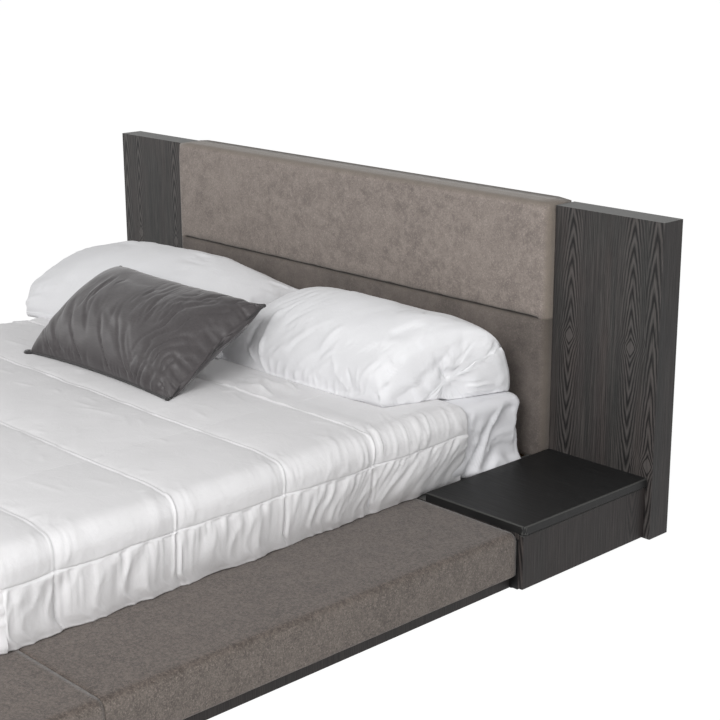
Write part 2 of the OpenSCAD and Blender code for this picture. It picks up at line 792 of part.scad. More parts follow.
// A point of a stuffed case: u along, angle t round its section, then tilted, turned and placed.
// For both ends, fill says how blunt they are and how far they stand open. Skew pushes the rear edge along,
// and pinch is how far the long edges are drawn in between the corners.
function stuffed(u, t, half, at, tilt, yaw, skew, fill, pinch) =
  let (
    c = cos(t),
    v = c,
    w = sin(t) < 0 ? -1 : 1,
    end = u < 0 ? fill[0] : fill[1],
    full = end[1] + (1 - end[1]) * pow(max(0, 1 - pow(abs(u), end[0])), 0.45),
    crown = full * pow(abs(sin(t)), 0.8),
    x = half[0] * (u - sign(u) * 0.045 * (1 - v * v) * pow(abs(u), 3)) + skew * v,
    y = half[1] * v * (1 - pinch * (1 - u * u)),
    z = w * (half[2] * crown + 3),
    y1 = y * cos(tilt) - z * sin(tilt),
    z1 = y * sin(tilt) + z * cos(tilt)
  )
  [at[0] + x * cos(yaw) - y1 * sin(yaw), at[1] + x * sin(yaw) + y1 * cos(yaw), at[2] + z1];

// Thickness of a case where it has no stuffing
case_t = 4;

// A stuffed case that lies on the bed and leans on the headboard
module stuffed_case(half, at, tilt, yaw, skew, fill, pinch) {
  rings = 9;
  sides = 22;
  wall_y = pad_front_y - pad_crown - soft_gap;
  loft([
    for (k = [-rings:rings])
      let (u = sin(90 * k / rings))
      [for (j = [0:sides - 1])
        let (t = 360 * (j + 0.5) / sides, p = stuffed(u, t, half, at, tilt, yaw, skew, fill, pinch))
        [p[0], min(p[1], wall_y), max(p[2], bed_top(p[0], p[1]) + (sin(t) > 0 ? case_t : 0))]]
  ]);
}

// The pillow behind, with its outer end turned towards the foot
module pillow_left() {
  color(white_col) stuffed_case(
    [(pillow_l + case_extra) / 2, pillow_d / 2, pillow_puff],
    [left_pillow_x, wing_front_y - left_pillow_y, left_pillow_z],
    left_pillow_tilt, left_pillow_yaw, 0, [[3, 0.5], [3.6, 0.12]], 0.07
  );
}

module pillow_right() {
  color(white_col) stuffed_case(
    [pillow_l / 2, right_pillow_d / 2, right_pillow_rise],
    [right_pillow_x, wing_front_y - right_pillow_y, right_pillow_z],
    right_pillow_tilt, 0, right_pillow_skew, [[7, 0.15], [16, 0.7]], -0.04
  );
}

module accent_cushion() {
  color(satin_col) stuffed_case(
    [accent_l / 2, accent_d / 2, accent_puff], [accent_x, wing_front_y - accent_y, accent_z],
    accent_tilt, 0, 0, [[3, 0], [3, 0]], 0
  );
}

// ---- Nightstands, on the right-hand side ----

module ns_top() {
  x1 = half_w - ns_inset;
  y1 = wing_front_y;
  color(top_col) difference() {
    box([slab_x, ns_foot_y, deck_h], [x1, y1, deck_h + slab_t]);
    translate([x1, ns_foot_y, deck_h - cut]) rotate([0, 0, -90]) edge_cut(slab_t + 2 * cut, slab_corner_r);
    translate([x1, ns_foot_y - cut, deck_h + slab_t]) rotate([-90, 0, 0]) rotate([0, 0, -90])
      edge_cut(ns_depth + 2 * cut, slab_edge_r);
    translate([slab_x - cut, ns_foot_y, deck_h + slab_t]) rotate([90, 0, 90]) rotate([0, 0, 90])
      edge_cut(x1 - slab_x + 2 * cut, slab_edge_r);
  }
}

module ns_subtop() {
  color(wood_col) box([inner_board_x, ns_foot_y, ns_subtop_z], [ns_face_x, ns_back_y, deck_h]);
}

module ns_end_panel() {
  color(wood_col) box([inner_board_x, ns_foot_y, glide_t], [ns_face_x, ns_in_foot_y, ns_subtop_z]);
}

module ns_back_panel() {
  color(wood_col) box([inner_board_x, ns_in_back_y, glide_t], [ns_face_x, ns_back_y, ns_subtop_z]);
}

module ns_inner_panel() {
  color(wood_col)
    box([inner_board_x, ns_in_foot_y, ns_floor_z], [inner_board_x + ns_board_t, ns_in_back_y, ns_subtop_z]);
}

module ns_floor() {
  color(wood_col)
    box([inner_board_x + ns_board_t, ns_in_foot_y, ns_floor_z], [ns_face_x, ns_in_back_y, ns_floor_top]);
}

// The batten that carries the nightstand on the wing
module ns_batten() {
  color(ply_col) box([slab_x + 2, ns_back_y, frame_bottom], [ns_face_x, wing_front_y, deck_h]);
}

// ---- Runners: three channels in each other on both sides of the drawer ----

// A channel along X. It stands at depth d0 to d1 from the nightstand's board; its web is on the
// board's side, or on the drawer's side where web_out is true.
module channel(d0, d1, half_h, web_out) {
  w = runner_wall;
  web = web_out ? d1 - w : d0;
  for (s = [-1, 1])
    box([runner_x0, d0, s > 0 ? half_h - w : -half_h], [runner_x1, d1, s > 0 ? half_h : -half_h + w]);
  box([runner_x0, web, -half_h + w], [runner_x1, web + w, half_h - w]);
}

// Both runners of a drawer
module both_runners() {
  translate([0, ns_in_foot_y, runner_z]) children();
  translate([0, ns_in_back_y, runner_z]) mirror([0, 1, 0]) children();
}

step_in = runner_wall + runner_gap;

module runner_outer() {
  color(steel_col) both_runners() channel(0, runner_w - 2 * step_in, runner_h / 2, false);
}

module runner_middle() {
  color(steel_col) both_runners() channel(step_in, runner_w - step_in, runner_h / 2 - step_in, false);
}

module runner_inner() {
  color(steel_col) both_runners() channel(2 * step_in, runner_w, runner_h / 2 - 2 * step_in, true);
}

// ---- Drawer ----

module drawer_front() {
  z1 = deck_h - reveal;
  y1 = wing_front_y - front_side_gap;
  color(wood_col) difference() {
    box([front_x, ns_foot_y, front_lift], [front_x + front_t, y1, z1]);
    translate([front_x + front_t, ns_foot_y, 0]) rotate([0, 0, -90]) edge_cut(deck_h, 2);
  }
}

// The groove's outline for the bottom, grown by its clearance
module bottom_board(extra) {
  d = groove_d - groove_gap - (extra > 0 ? 0 : board_gap) - drawer_side_t + extra;
  box(
    [drawer_back_x - d, drawer_y0 - d, drawer_bottom_z - extra],
    [front_x + d, drawer_y1 + d, drawer_bottom_z + drawer_bottom_t + extra]
  );
}

module drawer_sides() {
  color(ply_col) difference() {
    for (y = [drawer_y0, drawer_y1 - drawer_side_t])
      box([drawer_back_x, y, drawer_z], [front_x, y + drawer_side_t, drawer_z + drawer_side_h]);
    bottom_board(groove_gap);
  }
}

module drawer_ends() {
  color(ply_col) difference() {
    for (x = [drawer_back_x, front_x - drawer_side_t])
      box(
        [x, drawer_y0 + drawer_side_t, drawer_z],
        [x + drawer_side_t, drawer_y1 - drawer_side_t, drawer_z + drawer_side_h]
      );
    bottom_board(groove_gap);
  }
}

module drawer_bottom() {
  color(ply_col) bottom_board(0);
}

// ---- What is drawn ----

headboard_core();
headboard_pad();
on_left() wing();  // wing_left
wing();  // wing_right
joining_plates();
plate_screws();
on_left() rail_frame();  // rail_frame_left
rail_frame();  // rail_frame_right
on_left() rail_cover();  // rail_cover_left
rail_cover();  // rail_cover_right
foot_rail_frame();
foot_rail_cover();
on_left() plinth_side();  // plinth_left
plinth_side();  // plinth_right
plinth_foot();
head_rail();
on_left() ledger();  // ledger_left
ledger();  // ledger_right
centre_beam();
beam_hangers();
centre_legs();
rail_feet();
slats();
corner_brackets();
frame_bolts();
glides();
mattress();
comforter();
pillow_left();
pillow_right();
accent_cushion();
on_left() ns_top();  // ns_top_left
on_left() ns_subtop();  // ns_subtop_left
on_left() ns_end_panel();  // ns_end_panel_left
on_left() ns_back_panel();  // ns_back_panel_left
on_left() ns_inner_panel();  // ns_inner_panel_left
on_left() ns_floor();  // ns_floor_left
on_left() ns_batten();  // ns_batten_left
on_left() runner_outer();  // runner_outer_left
ns_top();  // ns_top_right
ns_subtop();  // ns_subtop_right
ns_end_panel();  // ns_end_panel_right
ns_back_panel();  // ns_back_panel_right
ns_inner_panel();  // ns_inner_panel_right
ns_floor();  // ns_floor_right
ns_batten();  // ns_batten_right
runner_outer();  // runner_outer_right
on_left() runner_middle();  // runner_middle_left
runner_middle();  // runner_middle_right
on_left() drawer_front();  // drawer_front_left
on_left() drawer_sides();  // drawer_sides_left
on_left() drawer_ends();  // drawer_ends_left
on_left() drawer_bottom();  // drawer_bottom_left
on_left() runner_inner();  // runner_inner_left
drawer_front();  // drawer_front_right
drawer_sides();  // drawer_sides_right
drawer_ends();  // drawer_ends_right
drawer_bottom();  // drawer_bottom_right
runner_inner();  // runner_inner_right
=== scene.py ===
"""The looks of a platform bed with an upholstered headboard, two nightstands and its bedding.

The frame's rigid boards keep their CAD shape and get materials. Upholstery and bedding are modelled here.
Everything is in metres: X to the right, Y to the headboard, Z up, with the origin on the floor.
"""

import itertools
import math

import bmesh
import bpy
import numpy as np
from mathutils import Matrix, Vector


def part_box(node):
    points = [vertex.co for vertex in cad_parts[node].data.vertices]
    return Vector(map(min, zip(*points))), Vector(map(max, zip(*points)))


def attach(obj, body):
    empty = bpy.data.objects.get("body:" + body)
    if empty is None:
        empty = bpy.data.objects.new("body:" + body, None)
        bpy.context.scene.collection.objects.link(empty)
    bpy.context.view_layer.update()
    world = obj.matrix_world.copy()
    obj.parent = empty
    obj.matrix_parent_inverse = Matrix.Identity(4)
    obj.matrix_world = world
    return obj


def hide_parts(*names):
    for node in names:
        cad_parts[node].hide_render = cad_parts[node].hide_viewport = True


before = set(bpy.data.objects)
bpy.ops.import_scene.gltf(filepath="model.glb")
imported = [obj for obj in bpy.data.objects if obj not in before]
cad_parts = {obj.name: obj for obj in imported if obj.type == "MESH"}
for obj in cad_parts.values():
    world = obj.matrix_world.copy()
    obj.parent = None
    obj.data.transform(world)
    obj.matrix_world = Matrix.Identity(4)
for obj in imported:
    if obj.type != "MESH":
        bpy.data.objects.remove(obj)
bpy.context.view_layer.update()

# ---- Sizes, taken from the frame ----

MM = 0.001


def low(node, axis):
    """A node's lowest coordinate along an axis."""
    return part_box(node)[0][axis]


def high(node, axis):
    """A node's highest coordinate along an axis."""
    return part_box(node)[1][axis]


wing_front_y = low("wing_right", 1)
mattress_x = high("mattress", 0)
mattress_foot_y, mattress_head_y = low("mattress", 1), high("mattress", 1)
mattress_low, mattress_top = low("mattress", 2), high("mattress", 2)
deck_h = high("slats", 2)
comforter_y = high("comforter", 1)
pad_low, pad_high = (Vector(corner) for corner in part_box("headboard_pad"))
soft_gap = 0.3 * MM

# ---- Numbers for whole arrays of points ----


def stack(*columns):
    """Points from their coordinates. A single number is repeated."""
    return np.stack(np.broadcast_arrays(*columns), axis=1)


def value_noise(points, scale, seed):
    """Smooth noise from -1 to 1, with features of about scale metres."""
    q = np.asarray(points, float) / scale
    cell = np.floor(q).astype(np.int64)
    f = q - cell
    f = f * f * (3 - 2 * f)
    total = np.zeros(len(q))
    for corner in itertools.product((0, 1), repeat=3):
        # Each cell's corner gets a value of its own, scrambled from its place
        key = cell + corner
        mixed = key[:, 0] * 73856093 ^ key[:, 1] * 19349663 ^ key[:, 2] * 83492791 ^ seed * 2654435761
        mixed &= 0xFFFFFFFF
        mixed = (mixed ^ (mixed >> 13)) * 1274126177 & 0xFFFFFFFF
        value = ((mixed ^ (mixed >> 16)) & 0xFFFF) / 32767.5 - 1
        total += value * np.prod(np.where(corner, f, 1 - f), axis=1)
    return total


def ridged(points, scale, seed):
    """Noise from 0 to 1 whose crests are sharp, as folds are."""
    return 1 - np.abs(value_noise(points, scale, seed)) ** 0.8


def smooth(low_end, high_end, value):
    """A smooth step from 0 to 1 between two values."""
    t = np.clip((value - low_end) / (high_end - low_end), 0, 1)
    return t * t * (3 - 2 * t)


def creases(points, lines):
    """How far folds push points out, each only near itself. A fold is (start, end, bend, width, height)."""
    push = np.zeros(len(points))
    for start, end, bend, width, height in lines:
        start, end, bend = (np.array(part, float) for part in (start, end, bend))
        room = 3 * width + np.abs(bend).max()
        above, below = points > np.minimum(start, end) - room, points < np.maximum(start, end) + room
        near = (above & below).all(axis=1)
        along = end - start
        t = np.clip((points[near] - start) @ along / (along @ along), 0, 1)
        middle = start + t[:, None] * along + (4 * t * (1 - t))[:, None] * bend
        gap2 = ((points[near] - middle) ** 2).sum(axis=1)
        fade = np.sin(np.pi * np.clip(t, 0.02, 0.98)) ** 0.6
        # A fold's crest is nearly sharp
        blunt = 0.18 * width
        push[near] += height * fade * np.exp(-(np.sqrt(gap2 + blunt**2) - blunt) / (0.65 * width))
    return push


# ---- Meshes ----


def grid_faces(rows, cols, start=0, closed=False):
    """Quads between the points of a grid, row by row. A closed grid joins each row's ends."""
    return [
        (a + i, a + (i + 1) % cols, a + cols + (i + 1) % cols, a + cols + i)
        for a in range(start, start + (rows - 1) * cols, cols)
        for i in range(cols if closed else cols - 1)
    ]


def grid_rim(rows, cols):
    """The indices round a grid's outline."""
    index = np.arange(rows * cols).reshape(rows, cols)
    return np.concatenate([index[0], index[1:, -1], index[-1, -2::-1], index[-2:0:-1, 0]]).tolist()


def band(one, other):
    """Quads between two closed rings of indices."""
    one, other = list(one), list(other)
    return list(zip(one, one[1:] + one[:1], other[1:] + other[:1], other))


def cap_faces(edge, start, rings):
    """Faces that close a ring of indices by rings of points that follow each other from start."""
    n = len(edge)
    last = start + (rings - 1) * n
    inner = grid_faces(rings, n, start, closed=True)
    return band(edge, range(start, start + n)) + inner + [tuple(range(last, last + n))]


def add_object(name, data):
    """An object in the scene."""
    made = bpy.data.objects.new(name, data)
    bpy.context.scene.collection.objects.link(made)
    return made


def make_piece(name, points, faces, material, replaces=(), merge=0.0):
    """A smooth mesh object that rides on the bed and stands for CAD nodes."""
    mesh = bpy.data.meshes.new(name)
    mesh.from_pydata(points.tolist(), [], faces)
    shape = bmesh.new()
    shape.from_mesh(mesh)
    if merge:
        bmesh.ops.remove_doubles(shape, verts=shape.verts, dist=merge)
    bmesh.ops.recalc_face_normals(shape, faces=shape.faces)
    shape.to_mesh(mesh)
    shape.free()
    mesh.polygons.foreach_set("use_smooth", [True] * len(mesh.polygons))
    mesh.materials.append(material)
    piece = add_object(name, mesh)
    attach(piece, "bed")
    if replaces:
        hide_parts(*replaces)
    return piece


def vectors(items, key):
    """One vector of each item, as an array."""
    flat = np.zeros(len(items) * 3)
    items.foreach_get(key, flat)
    return flat.reshape(-1, 3)


def points_of(piece):
    """A piece's vertices as an array."""
    return vectors(piece.data.vertices, "co")


def normals_of(piece):
    """A piece's vertex normals as an array."""
    return vectors(piece.data.vertex_normals, "vector")


def set_points(piece, points):
    """Moves a piece's vertices."""
    piece.data.vertices.foreach_set("co", points.ravel())
    piece.data.update()


def add_thickness(piece, thickness):
    """Gives a skin its thickness, on its inner side."""
    shell = piece.modifiers.new("thickness", "SOLIDIFY")
    shell.thickness = thickness
    shell.offset = -1


# The simulated cloth: its number of frames and the pressure in it
FRAMES = 14
PRESSURE = 2.0


def simulate(piece, pins, extra, cap, bending):
    """Lets a skin wrinkle: pins (0 to 1) hold its seams, and extra is how much longer the cloth is than
    the form it covers. No point moves further than cap metres."""
    start = points_of(piece)
    group = piece.vertex_groups.new(name="pins")
    for index in np.nonzero(pins > 0.01)[0]:
        group.add([int(index)], float(pins[index]), "REPLACE")
    cloth = piece.modifiers.new("cloth", "CLOTH")
    settings = cloth.settings
    settings.vertex_group_mass = "pins"
    settings.quality = 6
    settings.mass = 0.2
    settings.air_damping = 2.0
    settings.tension_stiffness = settings.compression_stiffness = 12
    settings.shear_stiffness = 4
    settings.bending_stiffness = bending
    settings.shrink_min = -extra
    settings.use_pressure = True
    settings.uniform_pressure_force = PRESSURE
    settings.effector_weights.gravity = 0.0
    cloth.collision_settings.use_collision = False
    cloth.collision_settings.use_self_collision = False
    cloth.point_cache.frame_start = 1
    cloth.point_cache.frame_end = FRAMES
    for frame_number in range(1, FRAMES + 1):
        bpy.context.scene.frame_set(frame_number)
    step = points_of(piece.evaluated_get(bpy.context.evaluated_depsgraph_get())) - start
    piece.modifiers.remove(cloth)
    piece.vertex_groups.remove(group)
    bpy.context.scene.frame_set(1)
    reach = np.linalg.norm(step, axis=1, keepdims=True)
    step *= cap * np.tanh(reach / cap) / np.maximum(reach, 1e-9)
    set_points(piece, start + step)


# ---- Materials ----


def srgb(r, g, b):
    """A colour as the eye sees it, from 0 to 255, in the linear values that shaders use."""
    return tuple(((c / 255 + 0.055) / 1.055) ** 2.4 if c > 10 else c / 3294.6 for c in (r, g, b)) + (1,)


def brighter(colour, times):
    """A colour with its light multiplied."""
    return tuple(min(1.0, c * times) for c in colour[:3]) + (1,)


class Wire:
    """A node's output. Arithmetic on it makes more nodes."""

    def __init__(self, shader, socket):
        self.shader, self.socket = shader, socket

    def __add__(self, other):
        return self.shader.calc("ADD", self, other)

    def __sub__(self, other):
        return self.shader.calc("SUBTRACT", self, other)

    def __mul__(self, other):
        return self.shader.calc("MULTIPLY", self, other)

    def __pow__(self, other):
        return self.shader.calc("POWER", self, other)

    def __abs__(self):
        return self.shader.calc("ABSOLUTE", self)

    def above(self, level):
        return self.shader.calc("GREATER_THAN", self, level)

    def below(self, level):
        return self.shader.calc("LESS_THAN", self, level)


class Shader:
    """The nodes of a material or of the world, written as calls. Numbers, colours and wires can be inputs."""

    def __init__(self, holder):
        self.holder = holder
        holder.use_nodes = True
        self.tree = holder.node_tree
        self.place = self.colour = None

    def node(self, kind, **inputs):
        made = self.tree.nodes.new(kind)
        for key, value in inputs.items():
            self.give(made.inputs[key], value)
        return made

    def give(self, socket, value):
        if isinstance(value, Wire):
            self.tree.links.new(value.socket, socket)
        else:
            socket.default_value = value

    def filled(self, made, values, output=0):
        """A node's output, once its inputs have their values in order."""
        for key, value in values:
            self.give(made.inputs[key], value)
        return Wire(self, made.outputs[output])

    def calc(self, operation, *values):
        made = self.node("ShaderNodeMath")
        made.operation = operation
        return self.filled(made, enumerate(values))

    def noise(self, scale, detail=3.0, roughness=0.5, distortion=0.0, place=None):
        made = self.node("ShaderNodeTexNoise", Vector=place or self.place, Scale=scale, Detail=detail,
                         Roughness=roughness, Distortion=distortion)
        return Wire(self, made.outputs["Fac"])

    def grain(self, stretch, *values):
        """Noise with its own scale along each axis."""
        made = self.node("ShaderNodeMapping", Vector=self.place, Scale=stretch)
        return self.noise(1.0, *values, place=Wire(self, made.outputs[0]))

    def ramp(self, value, *stops):
        """The first coat: colours at values from 0 to 1, (place, colour) for each stop."""
        made = self.node("ShaderNodeValToRGB", Fac=value)
        bar = made.color_ramp.elements
        while len(bar) < len(stops):
            bar.new(0.5)
        for element, (place, colour) in zip(bar, stops):
            element.position = place
            element.color = colour
        self.colour = Wire(self, made.outputs["Color"])

    def span(self, value, low_in, high_in, low_out=0.0, high_out=1.0):
        """Maps a range of values to another, held at its ends."""
        made = self.node("ShaderNodeMapRange")
        return self.filled(made, enumerate((value, low_in, high_in, low_out, high_out)))

    def mix(self, share, a, b, blend="MIX"):
        made = self.node("ShaderNodeMix")
        made.data_type, made.blend_type = "RGBA", blend
        return self.filled(made, ((0, share), (6, a), (7, b)), 2)

    def coat(self, colour, share, blend="MIX"):
        """Lays a colour over what is there."""
        self.colour = self.mix(share, self.colour, colour, blend)

    def tint(self, colour, value, none_at, full_at, most=1.0):
        """Lays a colour over what is there, more and more between two levels of a value."""
        self.coat(colour, self.span(value, none_at, full_at, 0.0, most))

    def bump(self, height, strength, distance, **under):
        made = self.node("ShaderNodeBump", Height=height, Strength=strength, Distance=distance, **under)
        return Wire(self, made.outputs[0])

    def split(self, vector):
        return [Wire(self, part) for part in self.node("ShaderNodeSeparateXYZ", Vector=vector).outputs]

    def facing(self):
        """The surface's direction, as three absolute values."""
        normal = Wire(self, self.node("ShaderNodeNewGeometry").outputs["Normal"])
        return [abs(part) for part in self.split(normal)]

    def done(self, roughness, normal, **values):
        inputs = self.tree.nodes["Principled BSDF"].inputs
        self.give(inputs["Base Color"], self.colour)
        self.give(inputs["Roughness"], roughness)
        self.give(inputs["Normal"], normal)
        for key, value in values.items():
            inputs[key.replace("_", " ")].default_value = value
        return self.holder


def new_material(name):
    """A material's nodes."""
    s = Shader(bpy.data.materials.new(name))
    s.place = Wire(s, s.node("ShaderNodeTexCoord").outputs["Object"])
    return s


# Where the veneer's cathedral grain has its eyes (across the board and up it), and how fast its arches widen
KNOTS = ((1.055, 0.619, 0.115), (1.302, 0.624, 0.115), (1.388, 0.250, 0.080))


def dark_wood():
    """Grey-stained open-grained veneer: straight upright grain, with columns of nested arches that start at
    an eye."""
    s = new_material("dark_wood")
    x, y, z = s.split(s.place)
    nx, _, nz = s.facing()
    side = nx.above(0.7)
    # Across the board: X on faces that look along Y, and Y on the others
    across = abs(x) * s.calc("SUBTRACT", 1.0, side) + y * side
    sway = (s.noise(2.4, 2) - 0.5) * 0.02 + (s.grain((24, 24, 9), 4, 0.65) - 0.5) * 0.012
    field = closest = None
    for knot_x, knot_z, widen in KNOTS:
        off = abs(across - knot_x + sway)
        lift = abs(z - knot_z)
        # Round at the eye, and drawn out far above and below it
        reach = s.calc("TANH", lift * 32.0) * 0.019 + lift * widen
        rings = s.calc("SMOOTH_MAX", (off**1.4 + reach**1.4) ** (1 / 1.4), 0.0135, 0.002)
        field = s.calc("MINIMUM", field, rings) if field else rings
        closest = s.calc("MINIMUM", closest, off) if closest else off
    wave = s.calc("SINE", field * 820.0)
    column = s.span(closest, 0.012, 0.045, 1.0, 0.18)
    pores = s.grain((330, 330, 8), 4, 0.7)
    streaks = s.grain((120, 120, 2.2), 3, 0.65)
    bands = s.grain((16, 16, 0.9), 2)
    s.ramp(bands, (0.32, srgb(50, 50, 49)), (0.5, srgb(60, 56, 55)), (0.66, srgb(66, 60, 58)))
    s.tint(srgb(51, 52, 51), s.grain((5, 5, 3.5), 2), 0.42, 0.62, 0.55)
    s.tint(srgb(84, 80, 77), streaks, 0.54, 0.68, 0.65)
    s.tint(srgb(40, 38, 38), streaks, 0.46, 0.34, 0.6)
    s.coat(srgb(92, 88, 86), s.span(wave, -0.2, -0.9) * (column * 0.6))
    s.coat(srgb(22, 21, 21), s.span(wave, 0.3, 0.8) * (column * 0.97))
    s.tint(srgb(31, 30, 30), pores, 0.52, 0.66, 0.75)
    s.tint(srgb(94, 90, 88), pores, 0.45, 0.32, 0.4)
    # Faces that look along X are painted darker: painted shade on the sides turned from the light
    s.coat(srgb(33, 31, 31), side * 0.65)
    # The nightstands, in front of the wings, are a little browner and darker
    s.coat((0.80, 0.74, 0.73, 1), y.below(wing_front_y), "MULTIPLY")
    # Faces that look up are painted lighter grey: a painted sheen on the tops
    s.coat(s.mix(s.span(pores, 0.35, 0.65), srgb(84, 85, 84), srgb(104, 103, 101)), nz.above(0.7))
    relief = s.bump(wave * -0.3 - pores, 0.35, 0.0004)
    return s.done(s.span(pores, 0.3, 0.7, 0.45, 0.65), relief, Specular_IOR_Level=0.3)


def top_wood(name, tone):
    """The nightstands' tops: nearly black, satin, with faint grain across the top and a painted highlight on
    their rounded edges.
    """
    s = new_material(name)
    nz = s.facing()[2]
    grain = s.grain((9, 240, 60), 4, 0.6)
    darkest, dark, middle, cloudy, scuffed, painted_edge_highlight = (
        brighter(srgb(*colour), tone)
        for colour in ((17, 17, 18), (24, 24, 24), (32, 32, 31), (29, 29, 29), (48, 48, 47), (74, 74, 72))
    )
    s.ramp(grain, (0.32, darkest), (0.55, dark), (0.72, middle))
    s.tint(cloudy, s.grain((3, 6, 3), 3), 0.4, 0.65, 0.4)
    s.tint(scuffed, s.grain((8, 26, 8), 5, 0.7), 0.62, 0.72, 0.45)
    # The rounded edges are painted paler: a painted highlight
    s.coat(painted_edge_highlight, nz.above(0.12) * nz.below(0.985) * 0.7)
    return s.done(s.span(grain, 0.3, 0.7, 0.45, 0.6), s.bump(grain, 0.12, 0.0003), Specular_IOR_Level=0.3)


def suede(name, light, dark, rim, speckle):
    """Velour with cloudy patches where its pile lies differently, and a fine speckle. The headboard's has a
    rim: its rounded edges are painted darker, as painted shade."""
    s = new_material(name)
    nx, _, nz = s.facing()
    speck = s.noise(210.0, 3, 0.8)
    middle = tuple((a + b) / 2 for a, b in zip(light, dark))
    s.ramp(s.noise(26.0, 5, 0.68, 0.4), (0.36, dark), (0.5, middle), (0.62, light))
    s.tint(light, s.noise(7.0, 2), 0.38, 0.62, 0.5)
    s.tint(brighter(light, 1.9), speck, 0.55, 0.64, speckle)
    s.tint(brighter(dark, 0.5), speck, 0.46, 0.36, speckle)
    if rim:
        # Edges that look up or sideways are painted darker: painted shade
        s.tint(rim, s.calc("MAXIMUM", nz, nx), 0.25, 0.8, 0.75)
        # Below the seam the pad is painted darker, as painted shade from the bedding in front of it
        x, _, z = s.split(s.place)
        edge = s.grain((5, 5, 5), 4)
        low_pad_shade = s.mix(s.span(edge, 0.35, 0.65), brighter(dark, 0.10), brighter(dark, 0.42))
        s.coat(low_pad_shade, s.span(z + edge * 0.012, SEAM_Z + 0.010, SEAM_Z + 0.002) * 0.55)
        # A dark line along the seam, stopping short of the sides: painted shade in the seam's crease
        run = s.span(abs(x), pad_high.x - 0.030, pad_high.x - 0.040)
        s.coat(srgb(38, 32, 30), s.span(abs(z - SEAM_Z), 0.0045, 0.0015) * run * 0.85)
    else:
        # The ledge is mottled more finely, and its top is painted darker than its sides, as painted shade
        mottle = s.noise(95.0, 4, 0.75)
        upward = s.span(nz, 0.5, 0.95)
        strength = upward * 0.30 + 0.25
        s.coat(brighter(light, 1.35), s.span(mottle, 0.52, 0.60) * strength)
        s.coat(brighter(dark, 0.65), s.span(mottle, 0.48, 0.40) * strength)
        # Faces that look up are painted darker: painted shade
        s.coat((0.79, 0.75, 0.735, 1), upward, "MULTIPLY")
    pile = s.bump(speck + s.noise(1500.0, 2, 0.6) * 0.6, 0.5, 0.0011)
    return s.done(0.95, pile, Sheen_Weight=0.25, Sheen_Roughness=0.5, Specular_IOR_Level=0.15)


def cotton(name, tone, small):
    """White percale: a fine weave, faint small wrinkles and very slight differences in tone."""
    s = new_material(name)
    threads = s.grain((900, 140, 900), 2, 0.5) + s.grain((140, 900, 140), 2, 0.5)
    s.colour = s.mix(s.span(s.noise(5.0, 2), 0.35, 0.65), tone, brighter(tone, 0.955))
    s.tint(brighter(tone, 0.86), threads, 0.9, 1.25, 0.12)
    rumple = s.bump(s.noise(16.0, 5, 0.55, 0.8), small, 0.012, Normal=s.bump(threads, 0.12, 0.0004))
    return s.done(0.85, rumple, Sheen_Weight=0.12, Sheen_Roughness=0.4, Specular_IOR_Level=0.2)


def satin(name, base):
    """Dark satin: a soft sheen that follows the folds, with a fine twill."""
    s = new_material(name)
    slub = s.grain((40, 260, 260), 3, 0.6)
    drift = s.noise(12.0, 3)
    s.colour = s.mix(s.span(slub, 0.35, 0.65), brighter(base, 0.86), brighter(base, 1.16))
    s.tint(brighter(base, 0.8), drift, 0.4, 0.62, 0.5)
    twill = s.bump(s.noise(700.0, 2, 0.5) + slub, 0.16, 0.0006)
    rough = s.span(drift, 0.3, 0.7, 0.42, 0.55)
    return s.done(rough, twill, Sheen_Weight=0.35, Sheen_Roughness=0.35, Specular_IOR_Level=0.45)


def plywood():
    """Birch plywood: pale faces with long figure, and plies that show on the edges."""
    s = new_material("plywood")
    fine = s.grain((300, 22, 300), 3, 0.6)
    plies = s.calc("SINE", s.split(s.place)[2] * (2 * math.pi / 0.003))
    figure = s.grain((6, 1.2, 30), 4, 0.6, 1.5)
    s.ramp(figure, (0.3, srgb(196, 164, 122)), (0.55, srgb(212, 184, 142)), (0.75, srgb(186, 150, 108)))
    s.tint(srgb(160, 124, 86), fine, 0.55, 0.75, 0.4)
    s.coat(srgb(140, 104, 70), s.span(plies, 0.2, 0.8, 0.0, 0.35) * s.facing()[2].below(0.5))
    return s.done(s.span(fine, 0.3, 0.7, 0.5, 0.7), s.bump(fine, 0.15, 0.0004))


def steel():
    """Zinc-plated steel with brushed streaks and dull patches."""
    s = new_material("steel")
    brushed = s.grain((12, 800, 800), 3, 0.6)
    patch = s.noise(60.0, 3)
    s.colour = s.mix(s.span(patch, 0.35, 0.65), srgb(168, 170, 174), srgb(190, 191, 193))
    rough = s.span(brushed, 0.3, 0.7, 0.26, 0.42) + s.span(patch, 0.4, 0.7, 0.0, 0.1)
    return s.done(rough, s.bump(brushed, 0.1, 0.0002), Metallic=0.9)


def black_plastic():
    """Moulded black plastic with a fine sparked texture."""
    s = new_material("black_plastic")
    wear = s.noise(40.0, 3)
    s.colour = s.mix(s.span(wear, 0.4, 0.7), srgb(26, 26, 27), srgb(38, 38, 38))
    return s.done(s.span(wear, 0.3, 0.7, 0.45, 0.6), s.bump(s.noise(1400.0, 2, 0.6), 0.2, 0.0003))


# The height of the headboard's seam
SEAM_Z = 0.662
# A darker copy of the tops' wood: painted shade for the gaps round the nightstands
gap_shade_wood = top_wood("gap_shade_wood", 0.6)
panel_suede = suede("panel_suede", srgb(148, 138, 131), srgb(122, 113, 108), srgb(124, 115, 105), 0.35)
ledge_suede = suede("ledge_suede", srgb(110, 102, 96), srgb(90, 83, 78), None, 0.65)
sheet_cotton = cotton("sheet_cotton", srgb(232, 232, 235), 0.10)
quilt_cotton = cotton("quilt_cotton", srgb(231, 230, 231), 0.17)
case_cotton = cotton("case_cotton", srgb(234, 234, 236), 0.16)
cushion_satin = satin("cushion_satin", srgb(67, 63, 64))
# The piping's satin is painted darker than the cushion's: painted shade along the piping
piping_shade_satin = satin("piping_shade_satin", srgb(34, 32, 33))

